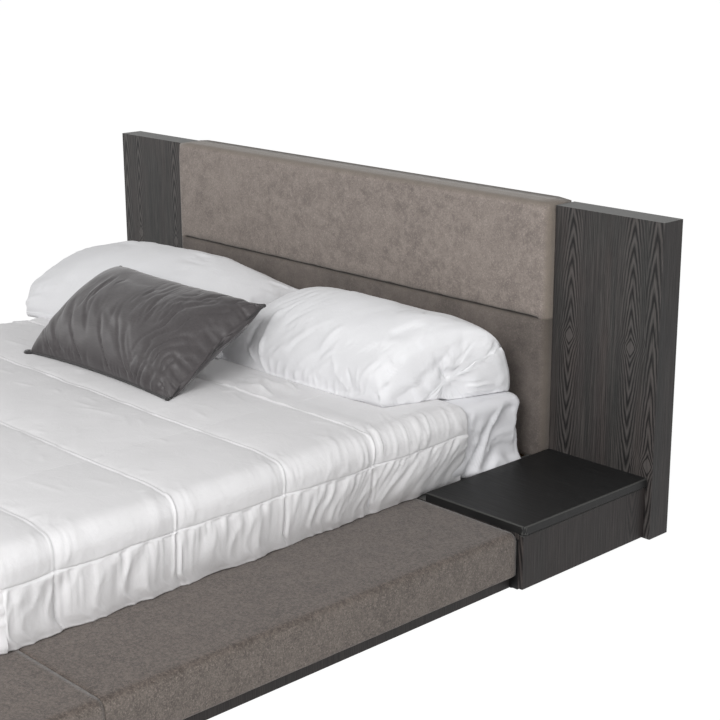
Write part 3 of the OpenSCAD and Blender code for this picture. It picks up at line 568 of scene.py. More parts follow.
FINISH = {
    "dark_wood": dark_wood(),
    "top_wood": top_wood("top_wood", 1.0),
    "suede": panel_suede,
    "plywood": plywood(),
    "steel": steel(),
    "white_cotton": case_cotton,
    "satin": cushion_satin,
    "black_plastic": black_plastic(),
}

# Boards get their edges broken by this much; thin steel by less
EDGE_BREAK = {"dark_wood": 1.0 * MM, "top_wood": 0.8 * MM, "plywood": 0.8 * MM, "steel": 0.25 * MM}


def dress_frame():
    """Gives every CAD node its material, and boards and steel a broken edge."""
    for name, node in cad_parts.items():
        for place in node.material_slots:
            finish = place.material.name.split(".")[0]
            place.material = FINISH[finish]
            # What shows in the gaps round the nightstands is painted nearly black, as painted shade
            if name.startswith(("ns_batten", "ns_end_panel")):
                place.material = gap_shade_wood
        if finish in EDGE_BREAK:
            weld = node.modifiers.new("weld", "WELD")
            weld.merge_threshold = 0.01 * MM
            bevel = node.modifiers.new("edge", "BEVEL")
            bevel.width = EDGE_BREAK[finish]
            bevel.segments = 2
            bevel.limit_method = "ANGLE"
            bevel.angle_limit = math.radians(50)
            bevel.harden_normals = False


# ---- The headboard's upholstery ----

PAD_EDGE_R = 0.026
PAD_CORNER_R = 0.02
# The grid of the face: how far it starts inside the rounded edge, and its step up the face
PAD_MARGIN = 0.02
PAD_STEP = 0.009
# How far the seam stops short of the panel's sides
SEAM_STOP = 0.035


def panel_profile():
    """Distances from the panel's outline and depths behind its face, from the back edge round to the face."""
    back = pad_high.y - 2 * MM
    behind = (back, (back + pad_low.y) / 2, pad_low.y + 2.2 * PAD_EDGE_R, pad_low.y + 1.5 * PAD_EDGE_R)
    return [(0.0, y) for y in behind] + [
        (PAD_EDGE_R * (1 - math.cos(a)), pad_low.y + PAD_EDGE_R * (1 - math.sin(a)))
        for a in np.linspace(0, math.pi / 2, 9)
    ]


def headboard_pad():
    """Foam under velour, rounded over the top and sides. Its stitched seam stops short of the sides."""
    profile = panel_profile()
    x1, z0, z1 = pad_high.x, pad_low.z, pad_high.z
    inset = profile[-1][0]
    xs = np.linspace(-x1 + inset + PAD_MARGIN, x1 - inset - PAD_MARGIN, int(2 * x1 / 0.013))
    fine = SEAM_Z + np.array([-14, -9, -6, -4, -2.5, -1.2, 0, 1.2, 2.5, 4, 6, 9, 14]) * MM
    zs = np.arange(z0 + inset + PAD_MARGIN, z1 - inset - PAD_MARGIN, PAD_STEP)
    zs = np.sort(np.concatenate([zs[np.abs(zs - SEAM_Z) > 0.018], fine]))
    face = np.array([[x, z] for z in zs for x in xs])
    # The outline of the face's grid, and on which sides of the panel each of its points lies
    loop = grid_rim(len(zs), len(xs))
    x, z = face[loop].T
    just = 0.1 * MM
    side = np.where(np.abs(x) > x1 - inset - PAD_MARGIN - just, np.sign(x), 0.0)
    above = z > z1 - inset - PAD_MARGIN - PAD_STEP
    below = z < z0 + inset + PAD_MARGIN + just
    level = 1.0 * above - below
    pull = PAD_CORNER_R * 0.29 * (np.abs(side) + np.abs(level) > 1.5)
    rows = [
        stack(
            np.where(side != 0, side * (x1 - gap), x) - side * pull,
            depth,
            np.where(above, z1 - gap, np.where(below, z0 + gap, z)) - level * pull,
        )
        for gap, depth in profile
    ]
    points = np.concatenate([*rows, stack(face[:, 0], pad_low.y, face[:, 1])])
    n = len(loop)
    base = len(profile) * n
    faces = grid_faces(len(profile), n, closed=True)
    faces += band(range(base - n, base), [base + i for i in loop]) + grid_faces(len(zs), len(xs), base)
    # The pads swell between the outline and the seam; the lower one is slacker
    x, y, z = points.T
    front = smooth(pad_low.y + 0.03, pad_low.y, y)
    swell = smooth(0.0, 0.12, np.minimum(np.minimum(x1 - np.abs(x), z1 - z), z - z0))
    on_seam = smooth(x1 - SEAM_STOP + 0.012, x1 - SEAM_STOP - 0.012, np.abs(x))
    off = np.abs(z - SEAM_Z - 0.7 * MM * np.sin(x * 31) - 0.5 * MM * np.sin(x * 77 + 1))
    groove = 9.0 * MM * np.exp(-((off / 0.0036) ** 2)) + 5.5 * MM * np.exp(-((off / 0.014) ** 2))
    spread = stack(x, 0, z)
    cloud = value_noise(spread, 0.11, 3) * 0.5 + value_noise(spread, 0.045, 4) * 0.22
    lower = smooth(SEAM_Z + 0.01, SEAM_Z - 0.01, z)
    ripple = lower * np.sin(x * 34 + 2.2 * value_noise(spread, 0.3, 7)) * np.exp(-(((z - 0.60) / 0.07) ** 2))
    points[:, 1] += front * (0.6 * MM + groove * on_seam - (0.35 * MM * cloud + 0.6 * MM * ripple) * swell)
    pad = make_piece("headboard_upholstery", points, faces, panel_suede, ["headboard_pad"])
    add_thickness(pad, 11 * MM)


# ---- The ledge's upholstery ----

LEDGE_EDGE_R = 0.028
LEDGE_LOW_R = 0.010
cover_low = low("rail_cover_right", 2)


def ledge_profile():
    """(distance in from the outer side, height) from the flat top over the edge and down under the rail."""
    stops = [(LEDGE_EDGE_R * (1 - math.sin(a)), deck_h - LEDGE_EDGE_R * (1 - math.cos(a)))
             for a in np.linspace(0, math.pi / 2, 8)]
    stops += [(0.0, z) for z in np.linspace(deck_h - LEDGE_EDGE_R, cover_low + LEDGE_LOW_R, 10)[1:]]
    stops += [(LEDGE_LOW_R * (1 - math.cos(a)), cover_low + LEDGE_LOW_R * (1 - math.sin(a)))
              for a in np.linspace(0, math.pi / 2, 5)[1:]]
    return stops


def upholster(cover, seed):
    """Turns a cover's skin up, slackens it and gives it its thickness. Velour is never quite flat: it has
    slow swells and small ones, below the CAD's face."""
    if sum(face.normal.z * face.area for face in cover.data.polygons) < 0:
        cover.data.flip_normals()
    points = points_of(cover)
    swell = value_noise(points, 0.16, seed) * 0.6 + value_noise(points, 0.05, seed + 1) * 0.4
    set_points(cover, points + normals_of(cover) * ((swell - 1) * 0.8 * MM)[:, None])
    add_thickness(cover, 10.5 * MM)


def rail_cover(side, hand):
    """The velour over a side rail: flat on top, rounded over the edge and drawn under."""
    node = "rail_cover_" + side
    y0, y1 = low(node, 1), high(node, 1)
    inner, outer = sorted(abs(x) for x in (low(node, 0), high(node, 0)))
    section = [(outer - x, deck_h) for x in np.arange(inner, outer - LEDGE_EDGE_R - 0.004, 0.012)]
    section += ledge_profile()
    ys = np.append(np.arange(y0, y1, 0.012), y1)
    points = np.array([[hand * (outer - d), y, z] for y in ys for d, z in section])
    # The ends are drawn in a little, where the cloth is turned over
    x, y, z = points.T
    soft_end = 2.5 * MM * np.exp(-np.minimum(y - y0, y1 - y) / 0.006)
    points[:, 2] -= soft_end * (z >= deck_h - 0.02)
    points[:, 0] -= hand * soft_end * (outer - np.abs(x) < 0.02)
    faces = grid_faces(len(ys), len(section))
    cover = make_piece("ledge_upholstery_" + side, points, faces, ledge_suede, [node])
    upholster(cover, 21)


def foot_cover():
    """The velour over the foot rail, with rounded corners."""
    y0, y1 = low("foot_rail_cover", 1), high("foot_rail_cover", 1)
    r = LEDGE_EDGE_R
    x1 = high("foot_rail_cover", 0) - r
    profile = ledge_profile()
    quarter = np.linspace(0, math.pi / 2, 7)
    ys = np.linspace(y0 + r, y1, 20)
    xs = np.linspace(-x1, x1, 200)
    # Path of the outline: (x, y) of the flat top's edge and the direction out of it
    path = [(-x1, y, -1.0, 0.0) for y in ys[:0:-1]]
    path += [(-x1, y0 + r, -math.cos(a), -math.sin(a)) for a in quarter]
    path += [(x, y0 + r, 0.0, -1.0) for x in xs[1:-1]]
    path += [(x1, y0 + r, math.sin(a), -math.cos(a)) for a in quarter]
    path += [(x1, y, 1.0, 0.0) for y in ys[1:]]
    points = [[x + dx * (r - d), y + dy * (r - d), z] for x, y, dx, dy in path for d, z in profile]
    faces = grid_faces(len(path), len(profile)) + grid_faces(len(ys), len(xs), len(points))
    points = np.array(points + [[x, y, deck_h] for y in ys for x in xs])
    cover = make_piece("ledge_upholstery_foot", points, faces, ledge_suede, ["foot_rail_cover"],
                       merge=0.05 * MM)
    upholster(cover, 33)


# ---- The mattress in its fitted sheet ----

MATTRESS_EDGE_R = 0.045
MATTRESS_LOW_R = 0.060
MATTRESS_CORNER_R = 0.038
# How far the sheet may flare out at the head end, and how far it does below
sheet_limit = low("ns_top_right", 0) - 1.5 * MM
SHEET_FLARE = 0.017


def outline(half_x, half_y, corner_r, step):
    """Points and outward directions round a rectangle with rounded corners, evenly spaced."""
    places = []
    centres = np.array(((1, 1), (-1, 1), (-1, -1), (1, -1))) * (half_x - corner_r, half_y - corner_r)
    for c, centre in enumerate(centres):
        out = [(math.cos(a), math.sin(a)) for a in np.radians(np.linspace(90 * c, 90 * c + 90, 9))]
        places += [(*centre, *way) for way in out]
        run = centres[(c + 1) % 4] - centre
        n = int(np.abs(run).sum() / step)
        places += [(*(centre + run * (k / n)), *out[-1]) for k in range(1, n)]
    return np.array(places)


def fitted_sheet():
    """The mattress under its fitted sheet: folds run down its sides at the head end, and it is tucked in."""
    half_y = (mattress_head_y - mattress_foot_y) / 2
    mid_y = (mattress_head_y + mattress_foot_y) / 2
    edge_r, corner_r = MATTRESS_EDGE_R, MATTRESS_CORNER_R
    ring_x, ring_y, out_x, out_y = outline(mattress_x, half_y, corner_r, 0.008).T
    n = len(ring_x)
    # Past the comforter the sheet hangs free: it falls straight to the platform, and a little outward
    free = smooth(comforter_y + 0.01, comforter_y + 0.09, ring_y + mid_y)
    low_r = MATTRESS_LOW_R + (0.014 - MATTRESS_LOW_R) * free
    arc = np.linspace(0, math.pi / 2, 9)
    flare = SHEET_FLARE * free
    side_z = (mattress_top - edge_r, mattress_low + low_r)
    profile = [(edge_r * (1 - math.sin(a)), mattress_top - edge_r * (1 - math.cos(a))) for a in arc]
    profile += [(-flare * t**1.5, side_z[0] * (1 - t) + side_z[1] * t) for t in np.linspace(0, 1, 24)[1:]]
    profile += [(low_r * (1 - math.cos(a)) - flare, side_z[1] - low_r * math.sin(a)) for a in arc[1:]]
    rows = []
    for inset, z in profile:
        hold = np.clip(inset, 0, corner_r / 2)
        slide = inset - hold
        # The flare is sideways only: the bed's head end stands against the headboard
        x = ring_x * (1 - slide / (mattress_x - corner_r)) + out_x * (corner_r - hold)
        y = ring_y * (1 - np.maximum(slide, 0) / (half_y - corner_r)) + out_y * (corner_r - hold)
        rows.append(stack(x, y + mid_y, z))
    points = np.concatenate(rows)
    faces = grid_faces(len(profile), n, closed=True)
    # The top and the underside: rings that shrink to the middle
    shrink = (0.965, 0.9, 0.8, 0.65, 0.45, 0.2)
    for which, z in ((0, mattress_top), (len(profile) - 1, mattress_low)):
        faces += cap_faces(range(which * n, which * n + n), len(points), len(shrink))
        x, y, _ = rows[which].T
        points = np.concatenate([points, *(stack(x * t, mid_y + (y - mid_y) * t, z) for t in shrink)])
    sheet = make_piece("mattress_in_sheet", points, faces, sheet_cotton, ["mattress"])
    points, normals = points_of(sheet), normals_of(sheet)
    x, y, z = points.T
    drop = mattress_top - z
    side = smooth(0.01, 0.05, drop) * smooth(0.245, 0.20, drop)
    # Folds lean from the top edge down towards the foot, and hang straight at the corner
    leaning = y + (0.75 * smooth(1.0, 0.86, y) + 0.08) * drop
    hand = np.sign(x)
    broad = ridged(stack(leaning, 0.25 * drop, hand), 0.048, 301)
    narrow = np.maximum(ridged(stack(leaning, 0.5 * drop, hand), 0.024, 302) - 0.45, 0)
    push = -30.0 * MM * (1 - broad) - 12.0 * MM * (0.55 - narrow) * smooth(0.02, 0.1, drop) + 3.0 * MM
    beside = (np.abs(x) > 0.9) * smooth(comforter_y, comforter_y + 0.03, y)
    push = push * beside - 0.8 * MM * (1 - beside)
    bulge = 1.0 * MM * value_noise(points, 0.09, 9) - 1.0 * MM
    lying = smooth(0.012, 0.0, drop)
    points = points + normals * ((push + bulge) * side)[:, None]
    points[:, 0] = np.clip(points[:, 0], -sheet_limit, sheet_limit)
    points[:, 2] -= lying * (0.6 * MM + 0.6 * MM * value_noise(points, 0.08, 14))
    set_points(sheet, points)


# ---- The comforter ----

SIDE_GAP = 0.003
DRAPE_R = 0.038
HEM_TUCK = 0.040
TOP_SEAM = 0.548
SEAM_T = 0.012
PUFF = 0.016
core_w = mattress_x + SIDE_GAP - DRAPE_R
core_foot_y = mattress_foot_y - SIDE_GAP + DRAPE_R
core_l = comforter_y - core_foot_y
arc_l = DRAPE_R * math.pi / 2
inner_top = mattress_top + soft_gap
drop_l = arc_l + inner_top - DRAPE_R - deck_h - soft_gap
side_seam = arc_l + 0.036
seam_rows = [wing_front_y - d - core_foot_y for d in (1.932, 1.544, 1.154, 0.802)]
right_seams = [TOP_SEAM, core_w + side_seam, core_w + drop_l]
across_seams = [-u for u in reversed(right_seams)] + right_seams
along_seams = [-drop_l, -side_seam, *seam_rows, core_l]


def into_cell(t, seams):
    """How far points lie between two seams: 0 at a seam and 1 half-way. Also the distance to the nearest."""
    seams = np.asarray(seams)
    i = np.clip(np.searchsorted(seams, t, side="right") - 1, 0, len(seams) - 2)
    a, b = seams[i], seams[i + 1]
    return np.clip(4 * (t - a) * (b - t) / (b - a) ** 2, 0, 1), np.abs(t[:, None] - seams).min(axis=1)


def drape(u, v, e):
    """A point of the comforter at u across and v along, e above its underside. It drops over the edges."""
    a = np.maximum(np.abs(u) - core_w, 0)
    b = np.maximum(-v, 0)
    d = np.maximum(a, b)
    phi = np.arctan2(b, a)
    turn = np.minimum(math.pi / 2, d / DRAPE_R)
    s = np.clip((d - side_seam) / (drop_l - side_seam), 0, 1)
    out = (DRAPE_R + e) * np.sin(turn) - HEM_TUCK * np.clip((v - 0.3) / 1.3, 0, 1) * s**1.6
    return stack(
        np.where(u < 0, -1.0, 1.0) * (np.minimum(core_w, np.abs(u)) + np.cos(phi) * out),
        core_foot_y + np.maximum(v, 0) - np.sin(phi) * out,
        inner_top - DRAPE_R + (DRAPE_R + e) * np.cos(turn) - np.maximum(0, d - arc_l),
    )


def with_seams(lines, seams):
    """Adds grid lines close to each seam, so that a sewn line comes out crisp."""
    offsets = np.array([-11, -7, -4, -2, 0, 2, 4, 7, 11]) * MM
    far = np.abs(lines[:, None] - np.asarray(seams)).min(axis=1) > 0.0125
    return np.sort(np.concatenate([lines[far], *[at + offsets for at in seams]]))


def bell(x, width):
    """A rounded bump: 1 at 0, and nearly nothing beyond twice its width."""
    return np.exp(-((x / width) ** 2))


def bead(gap, height, width):
    """A sewn line's height: a narrow raised bead between two shallow valleys."""
    return height * bell(gap, width) - 0.12 * height * bell(gap - 2.4 * width, 1.2 * width)


def quilt_height(u, v, d, gap_v, pressed):
    """How far the comforter's upper side is above its underside."""
    cell_u, gap_u = into_cell(u, across_seams)
    cell_v = into_cell(v, along_seams)[0]
    # The side seam is sewn to the skin's outer face, so the channel above it hangs over the one below
    beside = np.where((d > side_seam - 0.05) & (d < side_seam), np.maximum(cell_u, 0.45), cell_u)
    beside = np.where(d >= side_seam, np.maximum(cell_u, 0.14), beside)
    beside = np.where(d < 0.02, 0.2 + 0.8 * beside, beside)
    puff = PUFF * np.power(beside + 1e-9, 0.42) * np.power(cell_v + 1e-9, 0.55) * (1 - pressed)
    inside = (np.abs(u) < core_w + drop_l - 0.02) & (v < core_l - 0.02) & (v > -drop_l + 0.02)
    # The sewn lines are gathered unevenly
    gather = 0.95 + 0.45 * value_noise(stack(u, 0.2 * v, 0), 0.05, 55)
    crossing = bead(gap_v, 5.0 * MM * gather, 3.3 * MM)
    crossing *= np.where(np.abs(u) > core_w, 1 - smooth(side_seam, side_seam + 0.01, d), 1.0)
    length = np.where(d < 0.03, bead(gap_u, 1.2 * MM, 2.2 * MM), 0.0)
    length += np.where(d >= side_seam, 2.4 * MM * bell(d - side_seam - 2 * MM, 2.6 * MM), 0.0)
    length -= 3.0 * MM * bell(d - side_seam + 1.5 * MM, 2.0 * MM) * (d > 0.03)
    return SEAM_T + puff + (crossing + length) * inside


def drop_folds(u, v, d, gap_v):
    """The folds of the drop: puckers under the side seam, slanting folds near the nightstand, and bows that
    sweep over the upper edge. Heights above the quilt's skin."""
    hand = np.where(u < 0, 3.7, 0.0)
    inward = np.maximum(core_w - np.abs(u), 0)
    along = np.where(v < 0, u, v)
    crowd = smooth(0.85, 1.45, v)
    below = np.clip((d - side_seam) / (drop_l - side_seam), 0, 1)
    lean = along + (0.03 + 0.75 * crowd) * np.maximum(d - side_seam, 0)

    def folds(place, across, scale, seed):
        return ridged(stack(place, across, hand), scale, seed)

    # Just under the seam: sharp teeth that fade downwards; further down: broad soft columns
    teeth = np.maximum(folds(lean, 0.10 * d, 0.020, 201) - 0.45, 0)
    teeth *= np.exp(-below / 0.34) * smooth(0, 0.04, below)
    columns = (folds(lean + 0.01 * np.sin(d * 40), 0.14 * d, 0.046, 202) - 0.6) * smooth(0, 0.25, below)
    broad = (folds(lean, 0.2 * d, 0.10, 203) - 0.6) * smooth(0.1, 0.8, below)
    # Over the edge: bows, few at the foot and close together at the head
    over = d - inward
    place = stack(along, 0.6 * over, hand)
    sweep = along - 0.43 * inward - 0.25 * crowd * np.maximum(0.03 - d, 0)
    sweep += 0.020 * value_noise(place, 0.08, 206)
    uneven = 0.35 + 0.65 * smooth(-0.3, 0.5, value_noise(place, 0.06, 207))
    window = smooth(0.10 + 0.05 * crowd, 0.0, inward) * smooth(side_seam, side_seam - 0.022, d)
    bows = np.maximum(folds(sweep, 0.22 * over, 0.030, 204) - 0.52, 0)
    fine = np.maximum(folds(sweep, 0.3 * over, 0.014, 205) - 0.6, 0)
    gate = 0.30 + 0.95 * crowd + 0.5 * bell(gap_v - 0.035, 0.03)
    return np.where(
        d > side_seam,
        15 * MM * teeth + 9 * MM * columns + 10 * MM * broad,
        window * gate * uneven * (10 * MM * bows + 4.0 * MM * fine),
    )


def flat_fold(u0, v0, u1, v1, bend, width, height):
    """A fold of the comforter as creases() takes it. Its width and height are in millimetres."""
    return (u0, v0, 0), (u1, v1, 0), (*bend, 0), width * MM, height * MM


# The bows beside a cross seam: how far from it, how far onto the top, and how high in millimetres
BOWS = ((0.030, 0.04, 2.4), (0.056, 0.02, 2.0), (-0.028, 0.01, 1.6), (0.085, 0.0, 1.6))


def row_folds(hand):
    """Folds at each seam that goes over the side: two ridges under the side seam, and bows beside it."""
    lines = []
    low_end = core_w + drop_l - 0.008
    seam = core_w + side_seam
    for row in seam_rows:
        for off, height in ((-0.011, 3.2), (0.009, 4.0)):
            ends = hand * (seam + 0.002), row + off, hand * low_end, row + off * 1.2
            lines.append(flat_fold(*ends, (0, 0), 5.5, height))
        lines.append(flat_fold(hand * seam, row, hand * low_end, row, (0, 0), 3.5, -4.0))
        for off, start, height in BOWS:
            ends = hand * (core_w - start), row + off * 0.7, hand * (seam - 0.006), row + off * 0.55
            lines.append(flat_fold(*ends, (0, 0.012), 5.0, height))
    return lines


def top_wrinkles(rng):
    """Short wrinkles on the top: beside the seams, and in front of the pillows."""
    between = rng.uniform
    lines = []
    for row in seam_rows:
        u = -core_w
        while u < core_w - 0.05:
            way = rng.choice((-1, 1))
            run = between(0.02, 0.07)
            lines.append(flat_fold(u, row + way * 0.006, u + between(-0.03, 0.03), row + way * run,
                                   (0.004, 0), between(7, 11), between(1.2, 3.4)))
            u += between(0.03, 0.14)
    for _ in range(90):
        u, v = between(-0.85, 0.90), between(0.0, 1.40)
        angle = rng.normal(0.3, 0.4)
        run = between(0.05, 0.16)
        lines.append(flat_fold(u, v, u + run * math.cos(angle), v - run * math.sin(angle),
                               (0, between(-0.01, 0.01)), between(9, 15), between(1.2, 3.2)))
    # The last seam before the pillows stands up as a roll
    last = seam_rows[3]
    lines.append(flat_fold(-core_w - 0.02, last, core_w + 0.02, last, (0, 0), 9, 6))
    # Between the cushion and the pillow in front, the cloth is pushed up
    for _ in range(22):
        u, v = between(0.20, 0.42), between(last + 0.02, last + 0.16)
        run = between(0.05, 0.14)
        lines.append(flat_fold(u, v, u + run, v - between(0.0, 0.05),
                               (0, 0.01), between(8, 13), between(4, 9)))
    return lines


def under_cushion(u, v):
    """1 where the cushion rests on the comforter."""
    y = core_foot_y + v
    (x0, y0, _), (x1, _, _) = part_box("accent_cushion")
    across = smooth(x0, x0 + 0.03, u) * smooth(x1 - 0.02, x1 - 0.05, u)
    return across * smooth(y0, y0 + 0.03, y) * smooth(y0 + 0.30, y0 + 0.26, y)


def comforter():
    """A quilted comforter: sewn channels over the top, a seam round its sides and folds in its drop."""
    edge = core_w + drop_l
    fine_from = core_w - 0.12
    us = [np.arange(-edge, -fine_from, 0.0065), np.arange(-fine_from, fine_from, 0.0085),
          np.arange(fine_from, edge, 0.0065), [edge]]
    us = with_seams(np.concatenate(us), across_seams[1:-1])
    vs = with_seams(np.append(np.arange(-drop_l, core_l, 0.0056), core_l), along_seams[1:-1])
    u, v = (a.ravel() for a in np.meshgrid(us, vs))
    flat = stack(u, v, 0.0)
    beyond = np.abs(u) - core_w
    d = np.maximum(np.maximum(beyond, 0), np.maximum(-v, 0))
    cell_v, gap_v = into_cell(v, along_seams)
    # Pillows lie on the part near the headboard, and press it flat
    on_top = smooth(0.03, -0.06, beyond)
    pressed = smooth(seam_rows[3] + 0.01, seam_rows[3] + 0.09, v) * on_top
    held = np.maximum(smooth(seam_rows[3] + 0.16, seam_rows[3] + 0.20, v) * on_top, under_cushion(u, v))
    lines = creases(flat, row_folds(1) + row_folds(-1) + top_wrinkles(np.random.default_rng(11)))
    rumple = 1.6 * MM * value_noise(flat, 0.16, 71) + 0.5 * MM * value_noise(flat, 0.05, 72)
    rise = quilt_height(u, v, d, gap_v, pressed) - 1.2 * MM * held * (1 - pressed)
    rise = np.maximum(rise + (lines + rumple + drop_folds(u, v, d, gap_v)) * (1 - held), 0.005)
    near_hem = smooth(side_seam + 0.03, drop_l, d)
    # Sewn lines waver a little, and the side seam hangs in a scallop from one crossing to the next
    away = smooth(drop_l, drop_l - 0.05, d) * smooth(core_l, core_l - 0.04, v)
    line_v, line_u = stack(v, 0, 1.7), stack(u, 0, 5.3)
    sag = np.sign(u) * 5 * MM * (cell_v - 0.5) * smooth(0.0, side_seam, beyond)
    du = (4.0 * MM * value_noise(line_v, 0.14, 51) + 1.4 * MM * value_noise(line_v, 0.045, 52) + sag) * away
    dv = 4.0 * MM * value_noise(line_u, 0.14, 61) + 1.6 * MM * value_noise(line_u, 0.05, 62)
    # Over the side, crossing seams lean to the foot
    dv = (dv - 0.022 * smooth(core_w - 0.12, core_w + side_seam, np.abs(u))) * away * smooth(-0.02, 0.04, v)
    sway = near_hem * 5 * MM * value_noise(flat, 0.10, 81)
    upper = drape(u + du, v + dv, rise + np.maximum(sway, -3 * MM))
    under = drape(u, v, np.maximum(0.0, 0.3 * near_hem * (rise - SEAM_T)))
    lift = near_hem * (1.8 * MM + 1.8 * MM * value_noise(flat, 0.06, 83)) * smooth(0.0, 0.02, d)
    upper[:, 2] += lift
    under[:, 2] += lift
    # A sewn hem: both sides meet in a rounded rim
    nu, nv, half = len(us), len(vs), len(u)
    rim = grid_rim(nv, nu)
    hem = range(2 * half, 2 * half + len(rim))
    points = np.concatenate([upper, under, (upper[rim] + under[rim]) / 2])
    faces = grid_faces(nv, nu) + [face[::-1] for face in grid_faces(nv, nu, half)]
    for pair in zip(band(rim, hem), band(hem, [i + half for i in rim])):
        faces += pair
    quilt = make_piece("quilted_comforter", points, faces, quilt_cotton, ["comforter"])


# ---- Pillows ----

wall_y = pad_low.y - soft_gap
# The grid of a case: rings along it, points round each ring, and rings on each domed end
RINGS = 150
SIDES = 220
CAP_RINGS = 22
# How far an end is domed
DOME = 12 * MM

# A stuffed case: half its size, its place, its turns in degrees, how full each end is (how late it narrows,
# what is left at the end), how much its long sides are pinched in, and how square each end is
LEFT_PILLOW = dict(
    half=(0.476, 0.262, 0.146), at=(-0.622, 0.678, 0.533), tilt=19.5, yaw=9, skew=0.0,
    fill=((3.0, 0.5), (3.6, 0.12)), pinch=0.07, boxy=(0.30, 0.0),
)
RIGHT_PILLOW = dict(
    half=(0.420, 0.226, 0.190), at=(0.454, 0.746, 0.500), tilt=20, yaw=0, skew=0.072,
    fill=((7, 0.15), (16, 0.7)), pinch=-0.04, boxy=(0.0, 0.42),
)
ACCENT = dict(
    half=(0.409, 0.240, 0.128), at=(-0.130, 0.272, 0.568), tilt=31, yaw=0, skew=0.0,
    fill=((5.0, 0.0), (4.0, 0.0)), pinch=0.085, boxy=(0.0, 0.0), under=0.66,
)


def bed_top(points):
    """What a pillow may not go below: the comforter, then the sheet behind its hem."""
    v = points[:, 1] - core_foot_y
    on = np.clip((core_l + 0.045 - v) / 0.04, 0, 1)
    cell_u = into_cell(np.minimum(core_w, np.abs(points[:, 0])), across_seams)[0]
    cell_v = into_cell(np.minimum(v, core_l), along_seams)[0]
    puff = np.where(v > seam_rows[3], 0.0, PUFF * np.power(cell_u * cell_v + 1e-9, 0.42))
    return inner_top + soft_gap + on * (SEAM_T + puff)


def settle(points):
    """Keeps a pillow in front of the headboard and above the bed."""
    points[:, 1] = np.minimum(points[:, 1], wall_y)
    points[:, 2] = np.maximum(points[:, 2], bed_top(points))
    return points


def stuffed(u, t, half, at, tilt, yaw, skew, fill, pinch, boxy, under=1.0):
    """A point of a stuffed case: u along, angle t round its section, then tilted, turned and placed. Each
    end's section is fuller at its corners where boxy is more than 0; under thins its underside."""
    tilt, yaw = math.radians(tilt), math.radians(yaw)
    v = np.cos(t)
    power = np.where(u < 0, fill[0][0], fill[1][0])
    floor = np.where(u < 0, fill[0][1], fill[1][1])
    full = floor + (1 - floor) * np.power(np.maximum(0, 1 - np.power(np.abs(u), power)), 0.45)
    square = np.where(u < 0, boxy[0], boxy[1]) * smooth(0.35, 1.0, np.abs(u))
    crown = full * np.power(np.abs(np.sin(t)), 0.8 - square)
    x = half[0] * (u - np.sign(u) * 0.045 * (1 - v * v) * np.abs(u) ** 3) + skew * v
    y = half[1] * v * (1 - pinch * (1 - u * u))
    z = np.where(np.sin(t) < 0, -under, 1.0) * (half[2] * crown + 2 * MM)
    y, z = y * math.cos(tilt) - z * math.sin(tilt), y * math.sin(tilt) + z * math.cos(tilt)
    x, y = x * math.cos(yaw) - y * math.sin(yaw), x * math.sin(yaw) + y * math.cos(yaw)
    return stack(at[0] + x, at[1] + y, at[2] + z)


def case_mesh(form):
    """Points and faces of a stuffed case, and each point's place along it (past 1 on its domed ends) and
    angle round it."""
    step = np.linspace(-1, 1, RINGS)
    us = 0.999 * (0.72 * step + 0.28 * np.sin(step * math.pi / 2))
    # Sides crowd at the seam, where the section is thin
    turn = np.arange(SIDES) * 2 * math.pi / SIDES
    ts = turn - 0.18 * np.sin(2 * turn)
    u, t = (a.ravel() for a in np.meshgrid(us, ts, indexing="ij"))
    tube_points = stuffed(u, t, **form)
    points = [tube_points]
    faces = grid_faces(RINGS, SIDES, closed=True)
    axis = tube_points[-SIDES:].mean(axis=0) - tube_points[:SIDES].mean(axis=0)
    axis /= np.linalg.norm(axis)
    shares = np.linspace(1, 0, CAP_RINGS + 1)[1:-1]
    for end, first in ((-1, 0), (1, (RINGS - 1) * SIDES)):
        faces += cap_faces(range(first, first + SIDES), len(u), len(shares))
        rim = tube_points[first:first + SIDES]
        middle = rim.mean(axis=0)
        dome = end * axis * DOME * form["fill"][max(end, 0)][1]
        points += [middle + (rim - middle) * w + dome * (1 - w * w) for w in shares]
        u = np.append(u, np.repeat(end * (2 - shares), SIDES))
        t = np.append(t, np.tile(ts, len(shares)))
    return np.concatenate(points), faces, u, t


def on_form(form, u, angle):
    """The point of a case at u along and an angle in degrees round: 0 is its rear seam, 90 its top, 180 its
    front seam. Past 1, u runs in from the rim of the end to the end's middle."""
    t = np.array([math.radians(angle)])
    if abs(u) <= 1:
        return settle(stuffed(np.array([u]), t, **form))[0]
    end = math.copysign(0.999, u)
    turn = np.linspace(0, 2 * math.pi, 73)[:-1]
    middle = stuffed(np.full(72, end), turn, **form).mean(axis=0)
    rim = stuffed(np.array([end]), t, **form)
    return settle(middle + (rim - middle) * (2 - abs(u)))[0]


def form_folds(form, folds):
    """Folds on a case as creases() takes them. Each is given from (u, angle) to (u, angle), with its width,
    its height and, if it bends, how far, in millimetres."""
    lines = []
    for u0, a0, u1, a1, width, height, *bend in folds:
        start, end = on_form(form, u0, a0), on_form(form, u1, a1)
        bend = np.array(bend or (0, 0, 0)) * MM
        if abs(u0) <= 1 and abs(u1) <= 1:
            # The fold follows the crowned side: its middle is lifted to the surface
            bend = bend + on_form(form, (u0 + u1) / 2, (a0 + a1) / 2) - (start + end) / 2
        lines.append((start, end, bend, width * MM, 1.6 * height * MM))
    return lines


